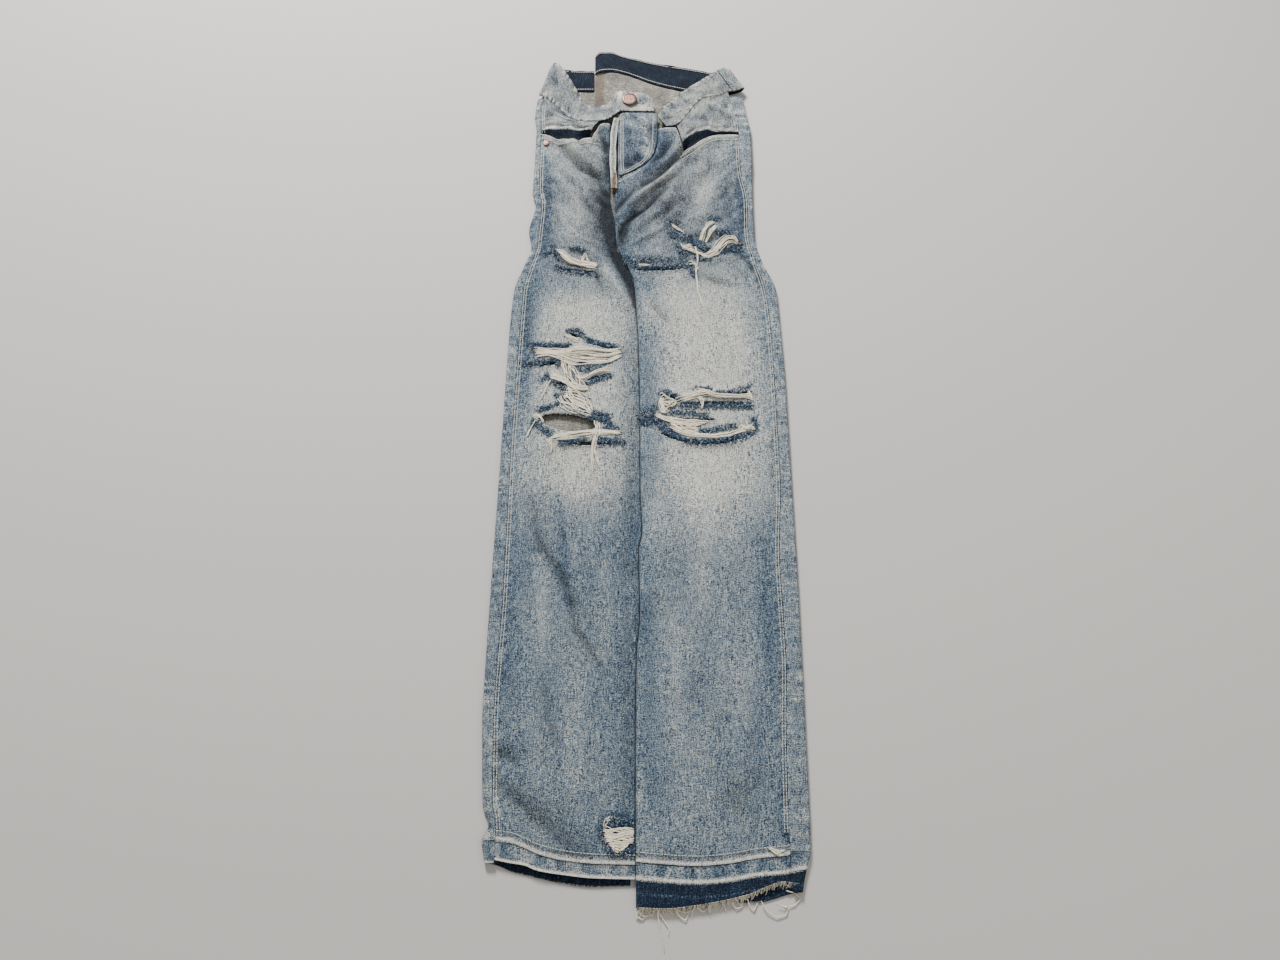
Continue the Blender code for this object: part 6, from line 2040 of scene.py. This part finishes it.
class JEANS_OT_fly(bpy.types.Operator):
    """Make the button stand and the doubled edge beside it"""
    bl_idname = "jeans.fly"
    bl_label = "Fly"

    def execute(self, context):
        stand = make_stand([finish("denim")])
        steps = 14
        stations = []
        for k in range(steps + 1):
            y = FLY_EDGE_FOOT + (FLY_EDGE_HEAD - FLY_EDGE_FOOT) * k / steps
            z = FLY_EDGE_HEIGHT + 0.6 * math.cos(k * 12 / steps)
            x = FLY_EDGE_X + read(FLY_BEND, y, 1)
            half = FLY_EDGE_HALF * (1.02 + 0.08 * math.sin(k * 1.3))
            stations.append((x - half, y, z, x + half, y, z))

        def wear_and_shade(place, t, side, x, y):
            low = ease(y, 332, 318)
            # Painted shade of a groove down the middle of the doubled edge, which is round in
            # shape; darker and less bared towards its foot.
            groove_shade = hump(t - 0.5, 0.10)
            edge = hump(t, 0.14) + hump(t - 1.0, 0.14)
            fade = 0.66 - 0.20 * low + 0.22 * shake(x, y, 6.0) + 0.2 * edge
            return worn(fade, 0.45, 0.5 * groove_shade + 0.2 * low, 0.6 * edge * (1 - low))

        edge = make_strap("denim_fly_edge", stations, [finish("denim")], wear_and_shade,
                          "fly_edge", across=8)
        return {"FINISHED"}


class JEANS_OT_hems(bpy.types.Operator):
    """Make both layers of each hem"""
    bl_idname = "jeans.hems"
    bl_label = "Hems"

    def execute(self, context):
        for leg, side, flat, area in (
            (RIGHT, "front", (0.165, 0.022), 0.0024),
            (RIGHT, "back", (0.185, 0.030), 0.0038),
            (LEFT, "front", (0.175, 0.042), 0.0058),
            (LEFT, "back", (0.200, 0.042), 0.0068),
        ):
            hem = make_hem(leg, side, [finish("denim")])
        return {"FINISHED"}


class JEANS_OT_yarns(bpy.types.Operator):
    """Make the bared yarns, the frayed ends and the raw hem's fringe"""
    bl_idname = "jeans.yarns"
    bl_label = "Yarns and frays"

    def execute(self, context):
        draw = random.Random(SEED)
        tables = ((RIGHT, RIGHT_YARNS, RIGHT_FRAYS), (LEFT, LEFT_YARNS, LEFT_FRAYS))
        for leg, rows, ends in tables:
            yarn_object(f"yarns_{leg.name}", bundle(draw, leg, rows), finish("cotton"))
            dark, pale = frays(draw, leg, ends)
            yarn_object(f"frays_dark_{leg.name}", dark, finish("indigo"))
            yarn_object(f"frays_pale_{leg.name}", pale, finish("paleblue"))
        paths = raw_ends(draw)
        for thick, line in HEM_THREADS:
            points = [(*along_line(line, k / 14), 1.2 + 3.0 * (1 - k / 14) ** 2) for k in range(15)]
            paths.append((thick, points))
        yarn_object("hem_fringe", paths, finish("cotton"), node="hem_fringe_left")
        return {"FINISHED"}


class JEANS_OT_stitches(bpy.types.Operator):
    """Sew the rows of stitches"""
    bl_idname = "jeans.stitches"
    bl_label = "Stitches"

    def execute(self, context):
        width = context.scene.jeans_looks.stitch_width
        bm = bmesh.new()
        for leg, rows in ((RIGHT, RIGHT_STITCHES), (LEFT, LEFT_STITCHES)):
            for pitch, points in rows:
                stitch_row(bm, points, leg.fine, pitch, width)
            low = HEM_START - 22
            ys = [low + (392 - low) * k / 60 for k in range(61)]
            for points in outseam_lines(leg, ys):
                stitch_row(bm, points, leg.fine, 3.3, width)
            seam = leg.at(HEM_BASE)[1]
            xs = [seam + (leg.inner(HEM_BASE) - seam) * k / 30 for k in range(30, -1, -1)]
            points = [(x, read(leg.hem, x, 1) + 9.5) for x in xs]
            stitch_row(bm, points, leg.fine, 3.4, width)
        for pitch, points in STAND_STITCHES:
            stitch_row(bm, points, fly_height, pitch, width)
        for leg in (RIGHT, LEFT):
            height = top_of("denim_pocket_facing_" + leg.name)
            for points in outseam_lines(leg, range(402, 452, 5)):
                points = [point for point in points if height(*point) > 4.0]
                if len(points) > 1:
                    stitch_row(bm, points, height, 3.3, width)
        for stations in (BAND_RIGHT, BAND_LEFT):
            for t, side in ((0.09, 1.0), (0.91, 1.0), (0.09, -1.0), (0.91, -1.0)):
                stitch_row(bm, strap_line(stations, t, side), None, 3.2, width, facing=0.0)
        add_piece("stitches_pale", bm, [finish("thread")], None, smooth=False)
        bm = bmesh.new()
        height = top_of("denim_fly_edge", "denim_front_right")
        stitch_row(bm, BARTACK, height, 1.3, 3.4)
        add_piece("bartack_fly", bm, [finish("tack")], None, smooth=False)
        return {"FINISHED"}


class JEANS_OT_trim(bpy.types.Operator):
    """Finish the belt loops, the back pockets, the button and the rivet"""
    bl_idname = "jeans.trim"
    bl_label = "Loops, pockets and metal"

    def execute(self, context):
        for name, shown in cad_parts.items():
            kind = TRIM.get(name)
            if name.startswith(("belt_loop", "back_pocket")):
                kind = kind or "plain"
            if kind:
                shown.data.materials.clear()
                shown.data.materials.append(finish(kind))
        return {"FINISHED"}


class JEANS_OT_stage(bpy.types.Operator):
    """Set the floor, the soft lamps and the camera"""
    bl_idname = "jeans.stage"
    bl_label = "Stage"

    def execute(self, context):
        looks = context.scene.jeans_looks
        bm = bmesh.new()
        bmesh.ops.create_grid(bm, x_segments=1, y_segments=1, size=FLOOR_HALF)
        mesh = bpy.data.meshes.new("floor")
        bm.to_mesh(mesh)
        bm.free()
        mesh.materials.append(make_paper())
        floor = bpy.data.objects.new("floor", mesh)
        context.collection.objects.link(floor)
        for name, place, size, share in LAMPS:
            lamp = bpy.data.lights.new(name, "AREA")
            lamp.size = size
            lamp.energy = looks.lamp_power * share
            shown = bpy.data.objects.new(name, lamp)
            shown.location = place
            shown.rotation_euler = (-Vector(place)).to_track_quat("-Z", "Y").to_euler()
            context.collection.objects.link(shown)
        world = bpy.data.worlds.new("studio")
        world.use_nodes = True
        sky = world.node_tree.nodes["Background"]
        sky.inputs[0].default_value = SKY_COLOUR
        sky.inputs[1].default_value = SKY_STRENGTH
        context.scene.world = world
        camera = bpy.data.cameras.new("camera")
        camera.lens, camera.sensor_width = LENS, SENSOR
        shown = bpy.data.objects.new("camera", camera)
        shown.location = Vector((*CAMERA_PLACE, looks.camera_height)) + SHIFT * MM
        shown.rotation_euler = Euler((looks.camera_tilt, 0.0, 0.0))
        context.collection.objects.link(shown)
        context.scene.camera = shown
        return {"FINISHED"}


OPERATORS = (
    JEANS_OT_fronts,
    JEANS_OT_backs,
    JEANS_OT_yokes,
    JEANS_OT_waistband,
    JEANS_OT_facings,
    JEANS_OT_fly,
    JEANS_OT_hems,
    JEANS_OT_yarns,
    JEANS_OT_stitches,
    JEANS_OT_trim,
    JEANS_OT_stage,
)


class JEANS_PT_panel(bpy.types.Panel):
    """Buttons that make each group of pieces"""
    bl_idname = "JEANS_PT_panel"
    bl_label = "Ripped jeans"
    bl_space_type = "VIEW_3D"
    bl_region_type = "UI"
    bl_category = "Jeans"

    def draw(self, context):
        looks = context.scene.jeans_looks
        for key in JeansLooks.__annotations__:
            self.layout.prop(looks, key)
        for operator in OPERATORS:
            self.layout.operator(operator.bl_idname)


CLASSES = (JeansLooks, *OPERATORS, JEANS_PT_panel)


def register():
    for each in CLASSES:
        bpy.utils.register_class(each)
    bpy.types.Scene.jeans_looks = bpy.props.PointerProperty(type=JeansLooks)


def unregister():
    del bpy.types.Scene.jeans_looks
    for each in reversed(CLASSES):
        bpy.utils.unregister_class(each)


def main():
    register()
    for operator in OPERATORS:
        group, name = operator.bl_idname.split(".")
        getattr(getattr(bpy.ops, group), name)()


if __name__ == "__main__":
    main()
